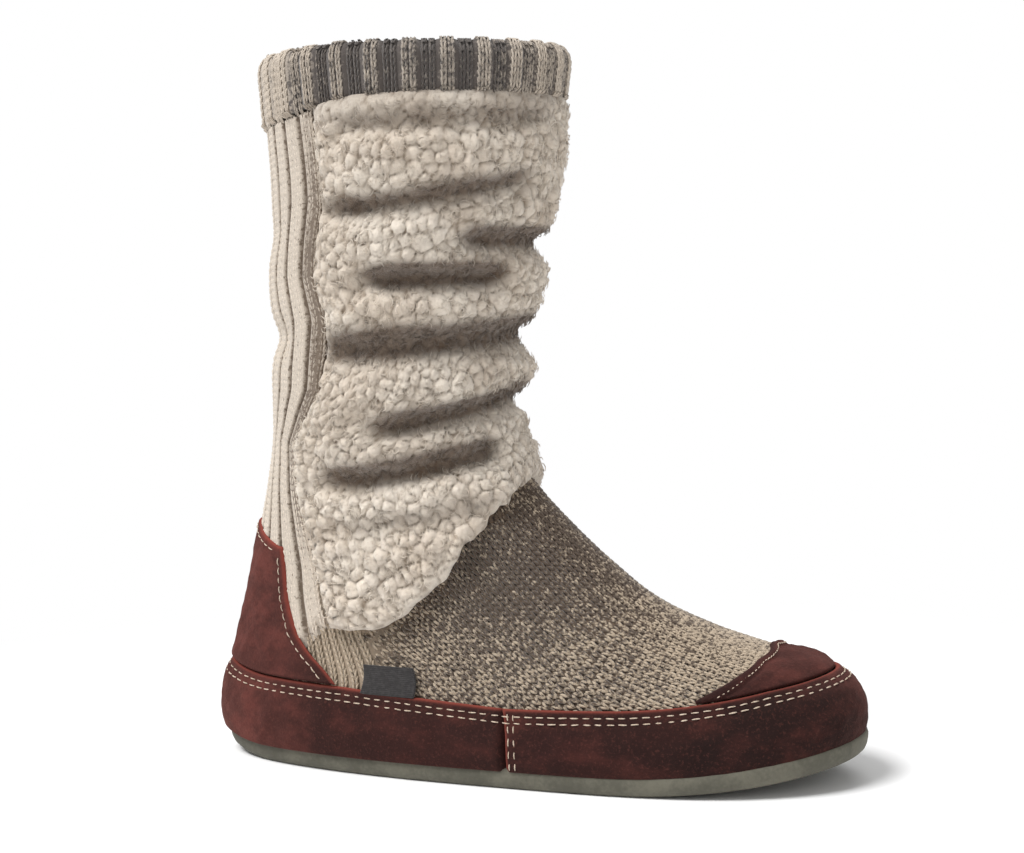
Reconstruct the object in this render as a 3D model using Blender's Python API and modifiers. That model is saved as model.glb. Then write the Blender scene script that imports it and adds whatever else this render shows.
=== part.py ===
"""A pull-on slouch boot: knitted foot, fleece shaft, ribbed cuff, suede rand.

Frame, metres: the origin is the middle of the heel's flat tread on the floor,
+X runs to the toe, +Z up, +Y to the inner side of this right boot.
Every piece is cut from one surface, the outside of the upper's cloth. A place
on it is a column (0 at the heel, 9 on the outer side, 18 at the toe, 27 on the
inner side) and a level (a row of the tables below, in between ones allowed).
"""

import math

import bpy
from mathutils import Vector

# Sizes, metres
FOOT_LENGTH = 0.266
BALL_WIDTH = 0.098
ANKLE_HEIGHT = 0.130
SHAFT_HEIGHT = 0.150
COLLAR_WIDTH = 0.100
SOLE_THICKNESS = 0.006
TOE_SPRING = 0.011
HEEL_ROLL = 0.004
HEEL_SEAT = 0.038
CLOTH = 0.0022
GAP = 0.0004
FLEECE = 0.009
RIB_STRIP = 0.0016
LEATHER = 0.0015
RAND_BULGE = 0.0047
CUFF_LEAF = 0.0030
CUFF_RIBS = 26
INSOLE = 0.004
TAG = 0.0009
SOLE_FLARE = 0.0035
SOLE_ROUND = 0.0012
CUFF_ROLL = 0.0062
RIB_RELIEF = 0.0004
INSOLE_ROUND = 0.0007

# Shares of the last's length where the toe spring starts and the heel roll ends
SPRING_START = 0.66
ROLL_END = 0.11

# Stations, as shares of a section's length, of its three half-widths
REAR, MIDDLE, FORE = 0.12, 0.42, 0.78

# Foot sections, from the feather edge up. Back and front points: x as shares of
# FOOT_LENGTH, z of ANKLE_HEIGHT. Half-widths and drift: shares of BALL_WIDTH.
#  back_x  back_z  front_x front_z  rear   middle fore   square drift
FOOT = (
    (0.000, 0.000, 1.000, 0.000, 0.385, 0.425, 0.505, 2.7, 0.050),
    (0.000, 0.055, 1.000, 0.055, 0.390, 0.430, 0.510, 2.7, 0.050),
    (0.001, 0.125, 0.997, 0.110, 0.385, 0.425, 0.505, 2.7, 0.050),
    (0.006, 0.190, 0.982, 0.175, 0.370, 0.410, 0.495, 2.6, 0.050),
    (0.014, 0.250, 0.948, 0.245, 0.355, 0.390, 0.470, 2.5, 0.050),
    (0.022, 0.310, 0.880, 0.305, 0.340, 0.370, 0.440, 2.3, 0.050),
    (0.033, 0.390, 0.790, 0.385, 0.330, 0.355, 0.395, 2.2, 0.045),
    (0.044, 0.485, 0.705, 0.475, 0.325, 0.345, 0.365, 2.1, 0.035),
    (0.057, 0.595, 0.636, 0.585, 0.325, 0.345, 0.355, 2.0, 0.025),
    (0.071, 0.720, 0.570, 0.710, 0.335, 0.365, 0.360, 2.0, 0.015),
    (0.085, 0.845, 0.510, 0.845, 0.350, 0.385, 0.370, 2.0, 0.010),
    (0.098, 1.000, 0.471, 1.000, 0.370, 0.405, 0.385, 2.0, 0.005),
)

# Shaft sections, evenly spaced up SHAFT_HEIGHT: shares of FOOT_LENGTH, then the
# half-width as a share of COLLAR_WIDTH.
#  back_x  front_x half
SHAFT = (
    (0.099, 0.478, 0.405),
    (0.099, 0.494, 0.412),
    (0.098, 0.513, 0.420),
    (0.106, 0.532, 0.430),
    (0.102, 0.550, 0.445),
    (0.096, 0.564, 0.465),
)

# Creases of the slouched shaft. Heights above the floor as shares of the whole
# boot, at the outer side and at the front; depth and spread as shares of FLEECE;
# the angles, degrees from the heel, between which the crease is open.
#  side   front  depth  spread begin  end
CREASES = (
    (0.790, 0.820, 0.70, 0.70, 62, 172),
    (0.745, 0.742, 1.05, 0.60, 118, 250),
    (0.690, 0.690, 1.15, 0.65, 82, 160),
    (0.595, 0.618, 1.20, 0.90, 66, 262),
    (0.480, 0.530, 1.05, 0.70, 88, 265),
    (0.420, 0.465, 1.00, 0.65, 64, 168),
    (0.355, 0.395, 0.40, 0.60, 66, 150),
    (0.700, 0.690, 0.85, 0.70, 195, 292),
    (0.800, 0.815, 0.70, 0.70, 210, 300),
    (0.440, 0.470, 0.85, 0.70, 195, 292),
    (0.765, 0.765, 0.40, 1.10, 305, 415),
    (0.620, 0.620, 0.80, 0.90, 300, 420),
)
SKIN_SHARE = 0.5

COLUMNS = 36
SIDE, TOE = COLUMNS // 4, COLUMNS // 2
SHAFT_STEPS = 19
EDGE_COLUMN = 6
SEAM = 0.06

# Where the rib strip meets the fleece: level, degrees moved from its column
STRIP_EDGE = ((0.0, 0), (8.0, 0), (10.0, -4), (10.9, -4), (11.8, 13), (12.9, 16), (13.6, 9), (14.8, 10), (16.3, 5), (17.0, 4))
# Edges as level against degrees from the heel, the two sides alike
RAND_TOP = ((0, 3.80), (60, 3.53), (93, 3.15), (110, 3.30), (130, 3.45), (147, 3.55), (180, 3.48))
HEM = ((60, 6.20), (66, 6.12), (74, 6.20), (89, 7.05), (104, 8.00), (119, 8.80), (143, 9.60), (165, 10.0), (180, 10.1))
CAP_EDGE = ((130, 3.62), (136, 3.92), (145, 4.30), (158, 4.74), (180, 5.08))
# Half-width of the heel counter in columns against the share of its height
COUNTER_EDGE = ((0.0, 5.8), (0.2, 5.3), (0.45, 4.6), (0.7, 4.3), (1.0, 4.1))
COUNTER_TOP = ((0, 9.00), (12, 8.95), (26, 8.70), (41, 8.45))
# Bulge of the rand against the share of its height
RAND_PROFILE = ((0.0, 0.70), (0.2, 0.92), (0.5, 1.0), (0.8, 0.80), (1.0, 0.42))
STRIP_FOOT = 4.3
CUFF_HEM = ((0, 16.08), (45, 16.20), (80, 16.38), (110, 16.42), (180, 16.42))

MATERIALS = {
    "sole_rubber": ((0.155, 0.150, 0.125), 0.75),
    "insole_pile": ((0.620, 0.560, 0.450), 0.95),
    "ragg_knit": ((0.330, 0.270, 0.205), 0.95),
    "shaft_pile": ((0.680, 0.600, 0.480), 0.95),
    "rib_knit": ((0.560, 0.490, 0.390), 0.95),
    "cuff_knit": ((0.200, 0.165, 0.130), 0.95),
    "suede": ((0.110, 0.026, 0.018), 0.90),
    "label_cloth": ((0.070, 0.074, 0.078), 0.85),
}


def at(table, value):
    """Straight-line reading of a table of (position, value) rows."""
    if value <= table[0][0]:
        return table[0][1]
    for (low, a), (high, b) in zip(table, table[1:]):
        if value <= high:
            return a + (b - a) * (value - low) / (high - low)
    return table[-1][1]


def section_rows():
    """All sections in metres, foot then shaft."""
    found = []
    for back_x, back_z, front_x, front_z, rear, middle, fore, square, drift in FOOT:
        found.append((
            back_x * FOOT_LENGTH, back_z * ANKLE_HEIGHT,
            front_x * FOOT_LENGTH, front_z * ANKLE_HEIGHT,
            rear * BALL_WIDTH, middle * BALL_WIDTH, fore * BALL_WIDTH,
            square, drift * BALL_WIDTH,
        ))
    for index, (back_x, front_x, half) in enumerate(SHAFT, start=1):
        height = ANKLE_HEIGHT + SHAFT_HEIGHT * index / len(SHAFT)
        half *= COLLAR_WIDTH
        found.append((
            back_x * FOOT_LENGTH, height, front_x * FOOT_LENGTH, height,
            0.92 * half, half, 0.96 * half, 2.0, 0.0,
        ))
    return found


ROWS = section_rows()
ANKLE_LEVEL = len(FOOT) - 1
RIM_LEVEL = len(ROWS) - 1
BOOT_HEIGHT = SOLE_THICKNESS + ANKLE_HEIGHT + SHAFT_HEIGHT


def section(level):
    """The section at any level, on a smooth curve through the rows."""
    index = min(int(level), RIM_LEVEL - 1)
    f = level - index
    a, b, c, d = (ROWS[max(0, min(RIM_LEVEL, index + k))] for k in (-1, 0, 1, 2))
    return [
        0.5 * (2 * q + (r - p) * f + (2 * p - 5 * q + 4 * r - s) * f * f
               + (3 * q - p - 3 * r + s) * f ** 3)
        for p, q, r, s in zip(a, b, c, d)
    ]


def lift(x):
    """Rise of the sole's upper face at the toe and at the back of the heel."""
    spring = max(0.0, (x / FOOT_LENGTH - SPRING_START) / (1 - SPRING_START))
    roll = max(0.0, 1 - x / FOOT_LENGTH / ROLL_END)
    return TOE_SPRING * spring ** 2 + HEEL_ROLL * roll ** 2


def column_angle(column, level):
    """Degrees from the heel of a column; the strip's edge bends its neighbours."""
    degrees = 360.0 * column / COLUMNS
    turned = degrees % 360
    edge = 360.0 * EDGE_COLUMN / COLUMNS
    near = min(turned, 360 - turned)
    weight = near / edge if near < edge else (180 - near) / (180 - edge)
    side = 1 if turned < 180 else -1
    return degrees + side * weight * at(STRIP_EDGE, level)


def crease_depth(degrees, height):
    """How far the fleece's face has sunk at a place on the shaft."""
    turned = degrees % 360
    near = min(turned, 360 - turned)
    total = 0.0
    for side, front, depth, spread, begin, end in CREASES:
        place = turned if turned >= begin else turned + 360
        if not begin <= place <= end:
            continue
        run = max(0.0, (near - 90) / 90)
        middle = (side + (front - side) * run) * BOOT_HEIGHT
        reach = min(1.0, (place - begin) / 22, (end - place) / 22)
        fall = math.exp(-(((height - middle) / (spread * FLEECE)) ** 2))
        total += depth * FLEECE * fall * reach * reach * (3 - 2 * reach)
    return min(total, 1.25 * FLEECE)


def plain_point(degrees, level):
    """A point of the upper's outer face before the creases sink it."""
    back_x, back_z, front_x, front_z, rear, middle, fore, square, drift = section(level)
    angle = math.radians(degrees)
    t = 0.5 * (1 - math.cos(angle))
    half = (
        rear * (t - MIDDLE) * (t - FORE) / ((REAR - MIDDLE) * (REAR - FORE))
        + middle * (t - REAR) * (t - FORE) / ((MIDDLE - REAR) * (MIDDLE - FORE))
        + fore * (t - REAR) * (t - MIDDLE) / ((FORE - REAR) * (FORE - MIDDLE))
    )
    close = max(0.0, 1 - abs(math.cos(angle)) ** square) ** 0.5
    side = -1 if math.sin(angle) > 0 else 1
    x = back_x + t * (front_x - back_x)
    z = back_z + t * (front_z - back_z)
    y = side * half * close + drift * max(0.0, (t - 0.35) / 0.65) ** 1.5
    return Vector((x - HEEL_SEAT, y, z + SOLE_THICKNESS + lift(x)))


def plain_normal(degrees, level):
    """Outward direction of that face."""
    low, high = max(0.0, level - 0.15), min(RIM_LEVEL, level + 0.15)
    along = plain_point(degrees + 2.0, level) - plain_point(degrees - 2.0, level)
    up = plain_point(degrees, high) - plain_point(degrees, low)
    return along.cross(up).normalized()


def face_point(column, level):
    """The upper's outer face at a whole column and a lattice level."""
    degrees = column_angle(column, level)
    point = plain_point(degrees, level)
    if level < ANKLE_LEVEL - 4:
        return point
    sunk = SKIN_SHARE * crease_depth(degrees, point.z)
    return point - plain_normal(degrees, level) * sunk


def lattice_levels():
    """Levels of the upper: one a row in the foot, evenly spaced in the shaft."""
    step = (RIM_LEVEL - ANKLE_LEVEL) / SHAFT_STEPS
    return [float(row) for row in range(ANKLE_LEVEL)] + [
        ANKLE_LEVEL + step * k for k in range(SHAFT_STEPS + 1)
    ]


LEVELS = lattice_levels()
LATTICE = [[face_point(column, level) for column in range(COLUMNS)] for level in LEVELS]


def skin(column, level):
    """A place on the upper's facets: straight between lattice points."""
    row = max(0, min(len(LEVELS) - 2, sum(1 for v in LEVELS if v <= level) - 1))
    f = (level - LEVELS[row]) / (LEVELS[row + 1] - LEVELS[row])
    base = math.floor(column)
    g = column - base
    low, high = LATTICE[row], LATTICE[row + 1]
    a, b = base % COLUMNS, (base + 1) % COLUMNS
    return (low[a] * (1 - g) + low[b] * g) * (1 - f) + (high[a] * (1 - g) + high[b] * g) * f


def raised(column, level, distance):
    """A place held off the upper's facets."""
    out = plain_normal(column_angle(column, level), level)
    return skin(column, level) + out * distance


def material(name):
    found = bpy.data.materials.get(name)
    if found is None:
        colour, roughness = MATERIALS[name]
        found = bpy.data.materials.new(name)
        found.use_nodes = True
        shader = found.node_tree.nodes["Principled BSDF"]
        shader.inputs["Base Color"].default_value = (*colour, 1.0)
        shader.inputs["Roughness"].default_value = roughness
    return found


def make_object(name, points, faces, slot):
    mesh = bpy.data.meshes.new(name)
    mesh.from_pydata([tuple(p) for p in points], [], faces)
    mesh.update()
    mesh.materials.append(material(slot))
    for face in mesh.polygons:
        face.use_smooth = True
    made = bpy.data.objects.new(name, mesh)
    BOOT.objects.link(made)
    return made


def grid_faces(rows, columns, closed=False, ring=False):
    """Quads of a grid of points; closed joins the last column to the first."""
    faces = []
    for row in range(rows if ring else rows - 1):
        for column in range(columns if closed else columns - 1):
            a = row * columns + column
            b = row * columns + (column + 1) % columns
            c = (row + 1) % rows * columns + column
            d = (row + 1) % rows * columns + (column + 1) % columns
            faces.append((a, b, d, c))
    return faces


def thicken(made, thickness, outward, weights=None):
    """Give a sheet its thickness; weights scale it point by point."""
    solid = made.modifiers.new("thickness", "SOLIDIFY")
    solid.thickness = thickness
    solid.offset = 1.0 if outward else -1.0
    solid.use_even_offset = False
    solid.use_quality_normals = True
    if weights:
        group = made.vertex_groups.new(name="thickness")
        for index, weight in enumerate(weights):
            group.add([index], weight, "REPLACE")
        solid.vertex_group = group.name
    return made


def between(first, last):
    """Column numbers from first to last, whole ones in between."""
    inner = [k for k in range(math.ceil(first), math.floor(last) + 1) if first + 0.3 < k < last - 0.3]
    return [first, *inner, last]


def patch(name, slot, across, rows, place, thickness, weight=None, stand=GAP):
    """A sheet laid on the upper and thickened outward.

    place(a, row) gives the column and level for a value of across and of rows."""
    points, weights = [], []
    for row in rows:
        for value in across:
            column, level = place(value, row)
            points.append(raised(column, level, stand))
            weights.append(weight(column, level, row) if weight else 1.0)
    made = make_object(name, points, grid_faces(len(rows), len(across)), slot)
    return thicken(made, thickness, True, weights if weight else None)


def capped_loft(name, loops, slot):
    """Loops from bottom to top, both ends closed by strips across the loop."""
    count = len(loops[0])
    points = [p for loop in loops for p in loop]
    faces = grid_faces(len(loops), count, closed=True)
    top = (len(loops) - 1) * count
    for k in range(count // 2):
        a, b = k, k + 1
        c, d = (count - k - 1) % count, (count - k) % count
        quad = [a, b, c] if k == 0 else [a, b, c, d]
        if b == c:
            quad = [a, b, d]
        faces.append(tuple(reversed(quad)))
        faces.append(tuple(top + i for i in quad))
    return make_object(name, points, faces, slot)


def degrees_of(column):
    """Degrees from the heel, the shorter way round."""
    turned = 360.0 * column / COLUMNS % 360
    return min(turned, 360 - turned)


def feather_loop(inset, height, grow=0.0):
    """The feather edge moved in, at a height from the sole's upper face."""
    loop = []
    for column in range(COLUMNS):
        degrees = column_angle(column, 0.0)
        out = plain_normal(degrees, 0.2)
        out.z = 0.0
        share = 0.5 * (1 - math.cos(math.radians(degrees)))
        edge = plain_point(degrees, 0.0)
        point = edge + out.normalized() * (grow * share - inset)
        point.z = edge.z + height
        loop.append(point)
    return loop


def make_outsole():
    loops = [
        feather_loop(0.8 * SOLE_ROUND, -SOLE_THICKNESS, SOLE_FLARE),
        feather_loop(-0.35 * SOLE_ROUND, SOLE_ROUND - SOLE_THICKNESS, SOLE_FLARE),
        feather_loop(-0.5 * SOLE_ROUND, -0.5 * SOLE_THICKNESS, SOLE_FLARE),
        feather_loop(0.0, -GAP, SOLE_FLARE),
    ]
    return capped_loft("outsole", loops, "sole_rubber")


def make_insole():
    inset = CLOTH + 2 * GAP
    loops = [
        feather_loop(inset + INSOLE_ROUND, 0.5 * GAP),
        feather_loop(inset, 0.3 * INSOLE),
        feather_loop(inset + INSOLE_ROUND, INSOLE),
    ]
    return capped_loft("insole", loops, "insole_pile")


def make_upper():
    points = [point for row in LATTICE for point in row]
    made = make_object("upper", points, grid_faces(len(LEVELS), COLUMNS, closed=True), "ragg_knit")
    return thicken(made, CLOTH, False)


def make_fleece():
    """Pile from the hem over the foot to the seam under the cuff."""
    first, last = EDGE_COLUMN + SEAM, COLUMNS - EDGE_COLUMN - SEAM
    shaft = [v for v in LEVELS if ANKLE_LEVEL <= v < CUFF_HEM[0][1] - 0.1]
    rows = [k / 5 - 1 for k in range(5)] + shaft + [RIM_LEVEL]

    def place(column, row):
        if row == RIM_LEVEL:
            return column, at(CUFF_HEM, degrees_of(column)) - SEAM
        if row >= ANKLE_LEVEL:
            return column, row
        low = at(HEM, degrees_of(column))
        level = low + (ANKLE_LEVEL - low) * (row + 1)
        snapped = abs(level - round(level)) < 0.09 * (ANKLE_LEVEL - low)
        return column, round(level) if snapped and row > -1 else level

    def weight(column, level, row):
        degrees = column_angle(column, level)
        depth = (1 - SKIN_SHARE) * crease_depth(degrees, plain_point(degrees, level).z)
        edge = min(1.0, 0.40 + 0.4 * min(column - first, last - column))
        hem = min(1.0, 0.70 + 0.4 * (level - at(HEM, degrees_of(column))))
        seam = min(1.0, 0.34 + 0.9 * (at(CUFF_HEM, degrees_of(column)) - level))
        return max(0.25, 1 - depth / FLEECE) * edge * hem * seam

    columns = between(first, last)
    return patch("shaft_fleece", "shaft_pile", columns, rows, place, FLEECE, weight, 2.3 * GAP)


def make_strip():
    edge = EDGE_COLUMN - SEAM
    crown = CUFF_HEM[0][1]
    rows = [STRIP_FOOT, *(v for v in LEVELS if STRIP_FOOT + 0.3 < v < crown - 0.15), crown]

    def place(column, row):
        if row == crown:
            return column, at(CUFF_HEM, degrees_of(column)) - SEAM
        return column, row

    return patch("back_rib", "rib_knit", between(-edge, edge), rows, place, RIB_STRIP)


def make_cuff():
    """A turned tube round the rim: outer leaf, fold, inner leaf."""
    ease = 1.8 * GAP
    inner = -(CLOTH + ease)
    leaf = CUFF_LEAF
    # off the face, share of the leaf's height, rise above the rim
    profile = (
        (ease, 0.0, 0.0),
        (ease + 0.8 * leaf, 0.0, 0.0),
        (ease + leaf, 0.25, 0.0),
        (ease + leaf, 0.85, 0.0),
        (ease + 0.6 * leaf, 1.0, 0.65 * CUFF_ROLL),
        (0.5 * inner, 1.0, CUFF_ROLL),
        (inner - 0.6 * leaf, 1.0, 0.65 * CUFF_ROLL),
        (inner - 0.9 * leaf, 0.80, 0.0),
        (inner - 0.7 * leaf, 0.15, 0.0),
        (inner, 0.15, 0.0),
        (inner, 1.0, ease),
        (ease, 1.0, ease),
    )
    points = []
    steps = 2 * CUFF_RIBS
    for off, share, rise in profile:
        for step in range(steps):
            column = COLUMNS * step / steps
            low = at(CUFF_HEM, degrees_of(column))
            rib = RIB_RELIEF if step % 2 and off > ease else 0.0
            point = raised(column, low + (RIM_LEVEL - low) * share, off - rib)
            point.z += rise
            points.append(point)
    faces = grid_faces(len(profile), steps, closed=True, ring=True)
    return make_object("cuff", points, faces, "cuff_knit")


def make_rand(name, first, last):
    """Half of the padded rand, between two columns; it bulges over the sole."""
    base, crown = 0.04, RAND_TOP[-1][1]

    def place(column, row):
        top = at(RAND_TOP, degrees_of(column))
        if row == crown:
            return column, top
        if row == 3 and top < 3.35:
            return column, 1 + 0.5 * top
        return column, row

    def weight(column, level, row):
        top = at(RAND_TOP, degrees_of(column))
        return at(RAND_PROFILE, (level - base) / (top - base))

    rows = (base, 1, 2, 3, crown)
    return patch(name, "suede", between(first, last), rows, place, RAND_BULGE, weight, 2 * GAP)


def make_cap():
    """Toe cap, from the rand's top edge back to a curved edge on the vamp."""
    reach = (180 - CAP_EDGE[0][0]) * COLUMNS / 360

    def place(column, row):
        degrees = degrees_of(column)
        low, top = at(RAND_TOP, degrees) + SEAM, at(CAP_EDGE, degrees)
        middle = 4.0 if top > 4.2 else (low + 2 * top) / 3
        return column, (low, 0.5 * (low + middle), middle, top)[row]

    columns = between(TOE - reach, TOE + reach)
    return patch("toe_cap", "suede", columns, range(4), place, LEATHER, stand=2.4 * GAP)


def make_counter():
    """Heel counter over the foot of the strip; its front edges lean back."""
    base, crown = RAND_TOP[0][1], COUNTER_TOP[0][1]

    def place(step, row):
        edge = at(COUNTER_EDGE, (row - base) / (crown - base))
        column = step
        if abs(step) > 2:
            column = math.copysign(2 + (edge - 2) * (abs(step) - 2) / 3, step)
        degrees = degrees_of(column)
        if row == base:
            return column, at(RAND_TOP, degrees) + 0.06
        if row == crown:
            return column, at(COUNTER_TOP, degrees)
        return column, row

    steps = range(-5, 6)
    rows = [base, 4.0, 5.0, 6.0, 7.0, 8.0, crown]
    stand = RIB_STRIP + 2.5 * GAP
    return patch("heel_counter", "suede", steps, rows, place, LEATHER, stand=stand)


def make_tag():
    def place(column, row):
        return column, row

    return patch("tag", "label_cloth", (6.45, 7.0, 7.5), (3.5, 4.0, 4.9), place, TAG)


for old in list(bpy.data.objects):
    bpy.data.objects.remove(old, do_unlink=True)
BOOT = bpy.data.collections.new("boot")
bpy.context.scene.collection.children.link(BOOT)

make_outsole()
make_insole()
make_upper()
make_fleece()
make_strip()
make_cuff()
make_rand("rand_front", 9.25, 26.75)
make_rand("rand_back", -9.2, 9.2)
make_cap()
make_counter()
make_tag()
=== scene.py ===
# %% [markdown]
# # A slouch boot in Blender
# This lesson dresses a pull-on boot: a knitted foot, a shaft covered in curly
# pile that slumps into folds, a ribbed cuff, a pale ribbed strip up the back, and
# a suede rand, toe cap and heel counter over a thin rubber sole.
# The solid model comes from CAD. Its node meshes stay as they are, and every
# finished piece is laid over the same surface, so nothing has to be fitted.

# %% Load the frame
import math

import bpy
import numpy as np
from mathutils import Matrix, Vector
from mathutils.bvhtree import BVHTree
from mathutils.kdtree import KDTree


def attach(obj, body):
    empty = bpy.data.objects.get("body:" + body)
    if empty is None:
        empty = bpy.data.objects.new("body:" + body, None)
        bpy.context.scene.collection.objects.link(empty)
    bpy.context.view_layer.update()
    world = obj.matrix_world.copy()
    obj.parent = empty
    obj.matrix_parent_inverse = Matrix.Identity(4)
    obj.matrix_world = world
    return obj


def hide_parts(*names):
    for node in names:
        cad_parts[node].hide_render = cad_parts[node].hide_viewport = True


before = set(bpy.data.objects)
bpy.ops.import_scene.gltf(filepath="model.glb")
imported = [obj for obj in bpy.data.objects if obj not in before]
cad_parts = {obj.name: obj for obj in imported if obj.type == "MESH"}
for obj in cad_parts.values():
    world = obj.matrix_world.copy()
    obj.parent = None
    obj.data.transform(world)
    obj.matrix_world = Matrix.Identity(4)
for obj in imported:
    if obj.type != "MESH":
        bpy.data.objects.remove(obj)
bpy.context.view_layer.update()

# %% [markdown]
# ## The camera
# The photograph was taken from close by, a little ahead of the boot's side and
# a little above its middle. A near camera makes the toe dip and the collar
# bow, so the distance matters as much as the angle. The lens is worked out
# from the picture's width in pixels, because the field of view is what the
# photograph fixes.

# %% Camera
PICTURE_WIDTH = 1024
FOCAL_PIXELS = 1830
AIM = Vector((0.090, 0.0, 0.139))
EYE_HEIGHT, EYE_AWAY = 0.187, 0.75
EYE_TURN, EYE_ROLL = math.radians(18), math.radians(-1)
SENSOR_WIDTH = 36.0


def place_camera():
    """The camera, with its lens and its slight roll."""
    ahead, aside = EYE_AWAY * math.sin(EYE_TURN), -EYE_AWAY * math.cos(EYE_TURN)
    eye = Vector((AIM.x + ahead, aside, EYE_HEIGHT))
    back = (eye - AIM).normalized()
    right = Vector((0, 0, 1)).cross(back).normalized()
    up = back.cross(right)
    across = right * math.cos(EYE_ROLL) + up * math.sin(EYE_ROLL)
    upward = up * math.cos(EYE_ROLL) - right * math.sin(EYE_ROLL)
    made = bpy.data.objects.new("camera", bpy.data.cameras.new("camera"))
    made.data.sensor_width = SENSOR_WIDTH
    made.data.lens = SENSOR_WIDTH * FOCAL_PIXELS / PICTURE_WIDTH
    made.data.clip_start = 0.01
    turn = Matrix((across, upward, back)).transposed().to_4x4()
    made.matrix_world = Matrix.Translation(eye) @ turn
    bpy.context.scene.collection.objects.link(made)
    bpy.context.scene.camera = made
    return made


camera = place_camera()
print("lens, mm:", round(camera.data.lens, 1))

# %% [markdown]
# ## One surface for the whole boot
# Every part of the boot lies on one smooth skin, a stack of foot and shaft
# sections. A row of numbers gives each one: where its back and front are, and
# how wide it is at three stations. The CAD model was built from the same
# numbers, so a piece laid on this skin meets its neighbours. Numpy reads a
# whole grid of places at once, which lets the grids be fine.

# %% The boot's sizes and sections
LAST_LENGTH, BALL_WIDTH, ANKLE_HEIGHT = 0.266, 0.098, 0.130
SHAFT_HEIGHT, COLLAR_WIDTH, SOLE_THICKNESS = 0.150, 0.100, 0.006
HEEL_SEAT, CLOTH, FLEECE, GAP = 0.038, 0.0022, 0.009, 0.0004
REAR, MIDDLE, FORE = 0.12, 0.42, 0.78  # where the three widths stand, heel to toe
COLUMNS, RIM_LEVEL, ANKLE_LEVEL, EDGE_COLUMN = 36, 17, 11, 6
BOOT_HEIGHT = SOLE_THICKNESS + ANKLE_HEIGHT + SHAFT_HEIGHT

# the foot from the sole up to the ankle, in shares of its length, height and width
#  back_x  back_z  front_x front_z  rear   middle fore   square drift
FOOT = (
    (0.000, 0.000, 1.000, 0.000, 0.385, 0.425, 0.505, 2.7, 0.050),
    (0.000, 0.055, 1.000, 0.055, 0.390, 0.430, 0.510, 2.7, 0.050),
    (0.001, 0.125, 0.997, 0.110, 0.385, 0.425, 0.505, 2.7, 0.050),
    (0.006, 0.190, 0.982, 0.175, 0.370, 0.410, 0.495, 2.6, 0.050),
    (0.014, 0.250, 0.948, 0.245, 0.355, 0.390, 0.470, 2.5, 0.050),
    (0.022, 0.310, 0.880, 0.305, 0.340, 0.370, 0.440, 2.3, 0.050),
    (0.033, 0.390, 0.790, 0.385, 0.330, 0.355, 0.395, 2.2, 0.045),
    (0.044, 0.485, 0.705, 0.475, 0.325, 0.345, 0.365, 2.1, 0.035),
    (0.057, 0.595, 0.636, 0.585, 0.325, 0.345, 0.355, 2.0, 0.025),
    (0.071, 0.720, 0.570, 0.710, 0.335, 0.365, 0.360, 2.0, 0.015),
    (0.085, 0.845, 0.510, 0.845, 0.350, 0.385, 0.370, 2.0, 0.010),
    (0.098, 1.000, 0.471, 1.000, 0.370, 0.405, 0.385, 2.0, 0.005),
)
# the shaft from the ankle up to the rim
#  back_x  front_x half
SHAFT = (
    (0.099, 0.478, 0.405),
    (0.099, 0.494, 0.412),
    (0.098, 0.513, 0.420),
    (0.106, 0.532, 0.430),
    (0.102, 0.550, 0.445),
    (0.096, 0.564, 0.465),
)


def section_rows():
    """All sections in metres, from the sole up to the rim."""
    rows = []
    for back_x, back_z, front_x, front_z, *widths, square, drift in FOOT:
        rows.append((back_x * LAST_LENGTH, back_z * ANKLE_HEIGHT,
                     front_x * LAST_LENGTH, front_z * ANKLE_HEIGHT,
                     *(width * BALL_WIDTH for width in widths), square, drift * BALL_WIDTH))
    for index, (back_x, front_x, half) in enumerate(SHAFT, start=1):
        height = ANKLE_HEIGHT + SHAFT_HEIGHT * index / len(SHAFT)
        half *= COLLAR_WIDTH
        rows.append((back_x * LAST_LENGTH, height, front_x * LAST_LENGTH, height,
                     0.92 * half, half, 0.96 * half, 2.0, 0.0))
    return np.array(rows)


ROWS = section_rows()
print("sections:", len(ROWS), "boot height, mm:", round(1000 * BOOT_HEIGHT))

# %% Tables and angles
# level and degrees: how far the strip's edge sways to and fro on its way up
STRIP_EDGE = (
    (0.0, 0), (8.0, 0), (10.0, -4), (10.9, -4), (11.8, 13), (12.9, 16), (13.6, 9),
    (14.8, 10), (16.3, 5), (17.0, 4),
)


def at(table, value):
    """Straight-line reading of a table of (position, value) rows."""
    places, values = zip(*table)
    return np.interp(value, places, values)


def near_degrees(degrees):
    """Degrees from the heel on either side: 0 at the heel, 180 at the toe."""
    turned = np.mod(degrees, 360)
    return np.minimum(turned, 360 - turned)


def column_angle(column, level):
    """Degrees from the heel of a column; the strip's wavy edge bends its neighbours."""
    degrees = 360.0 * column / COLUMNS
    edge = 360.0 * EDGE_COLUMN / COLUMNS
    near = near_degrees(degrees)
    weight = np.where(near < edge, near / edge, (180 - near) / (180 - edge))
    side = np.where(np.mod(degrees, 360) < 180, 1, -1)
    return degrees + side * weight * at(STRIP_EDGE, level)


print("the strip's edge at the ankle, degrees:", round(float(column_angle(EDGE_COLUMN, 11.8))))

# %% The skin at any place
TOE_SPRING, HEEL_ROLL, SPRING_START, ROLL_END = 0.011, 0.004, 0.66, 0.11


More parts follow.
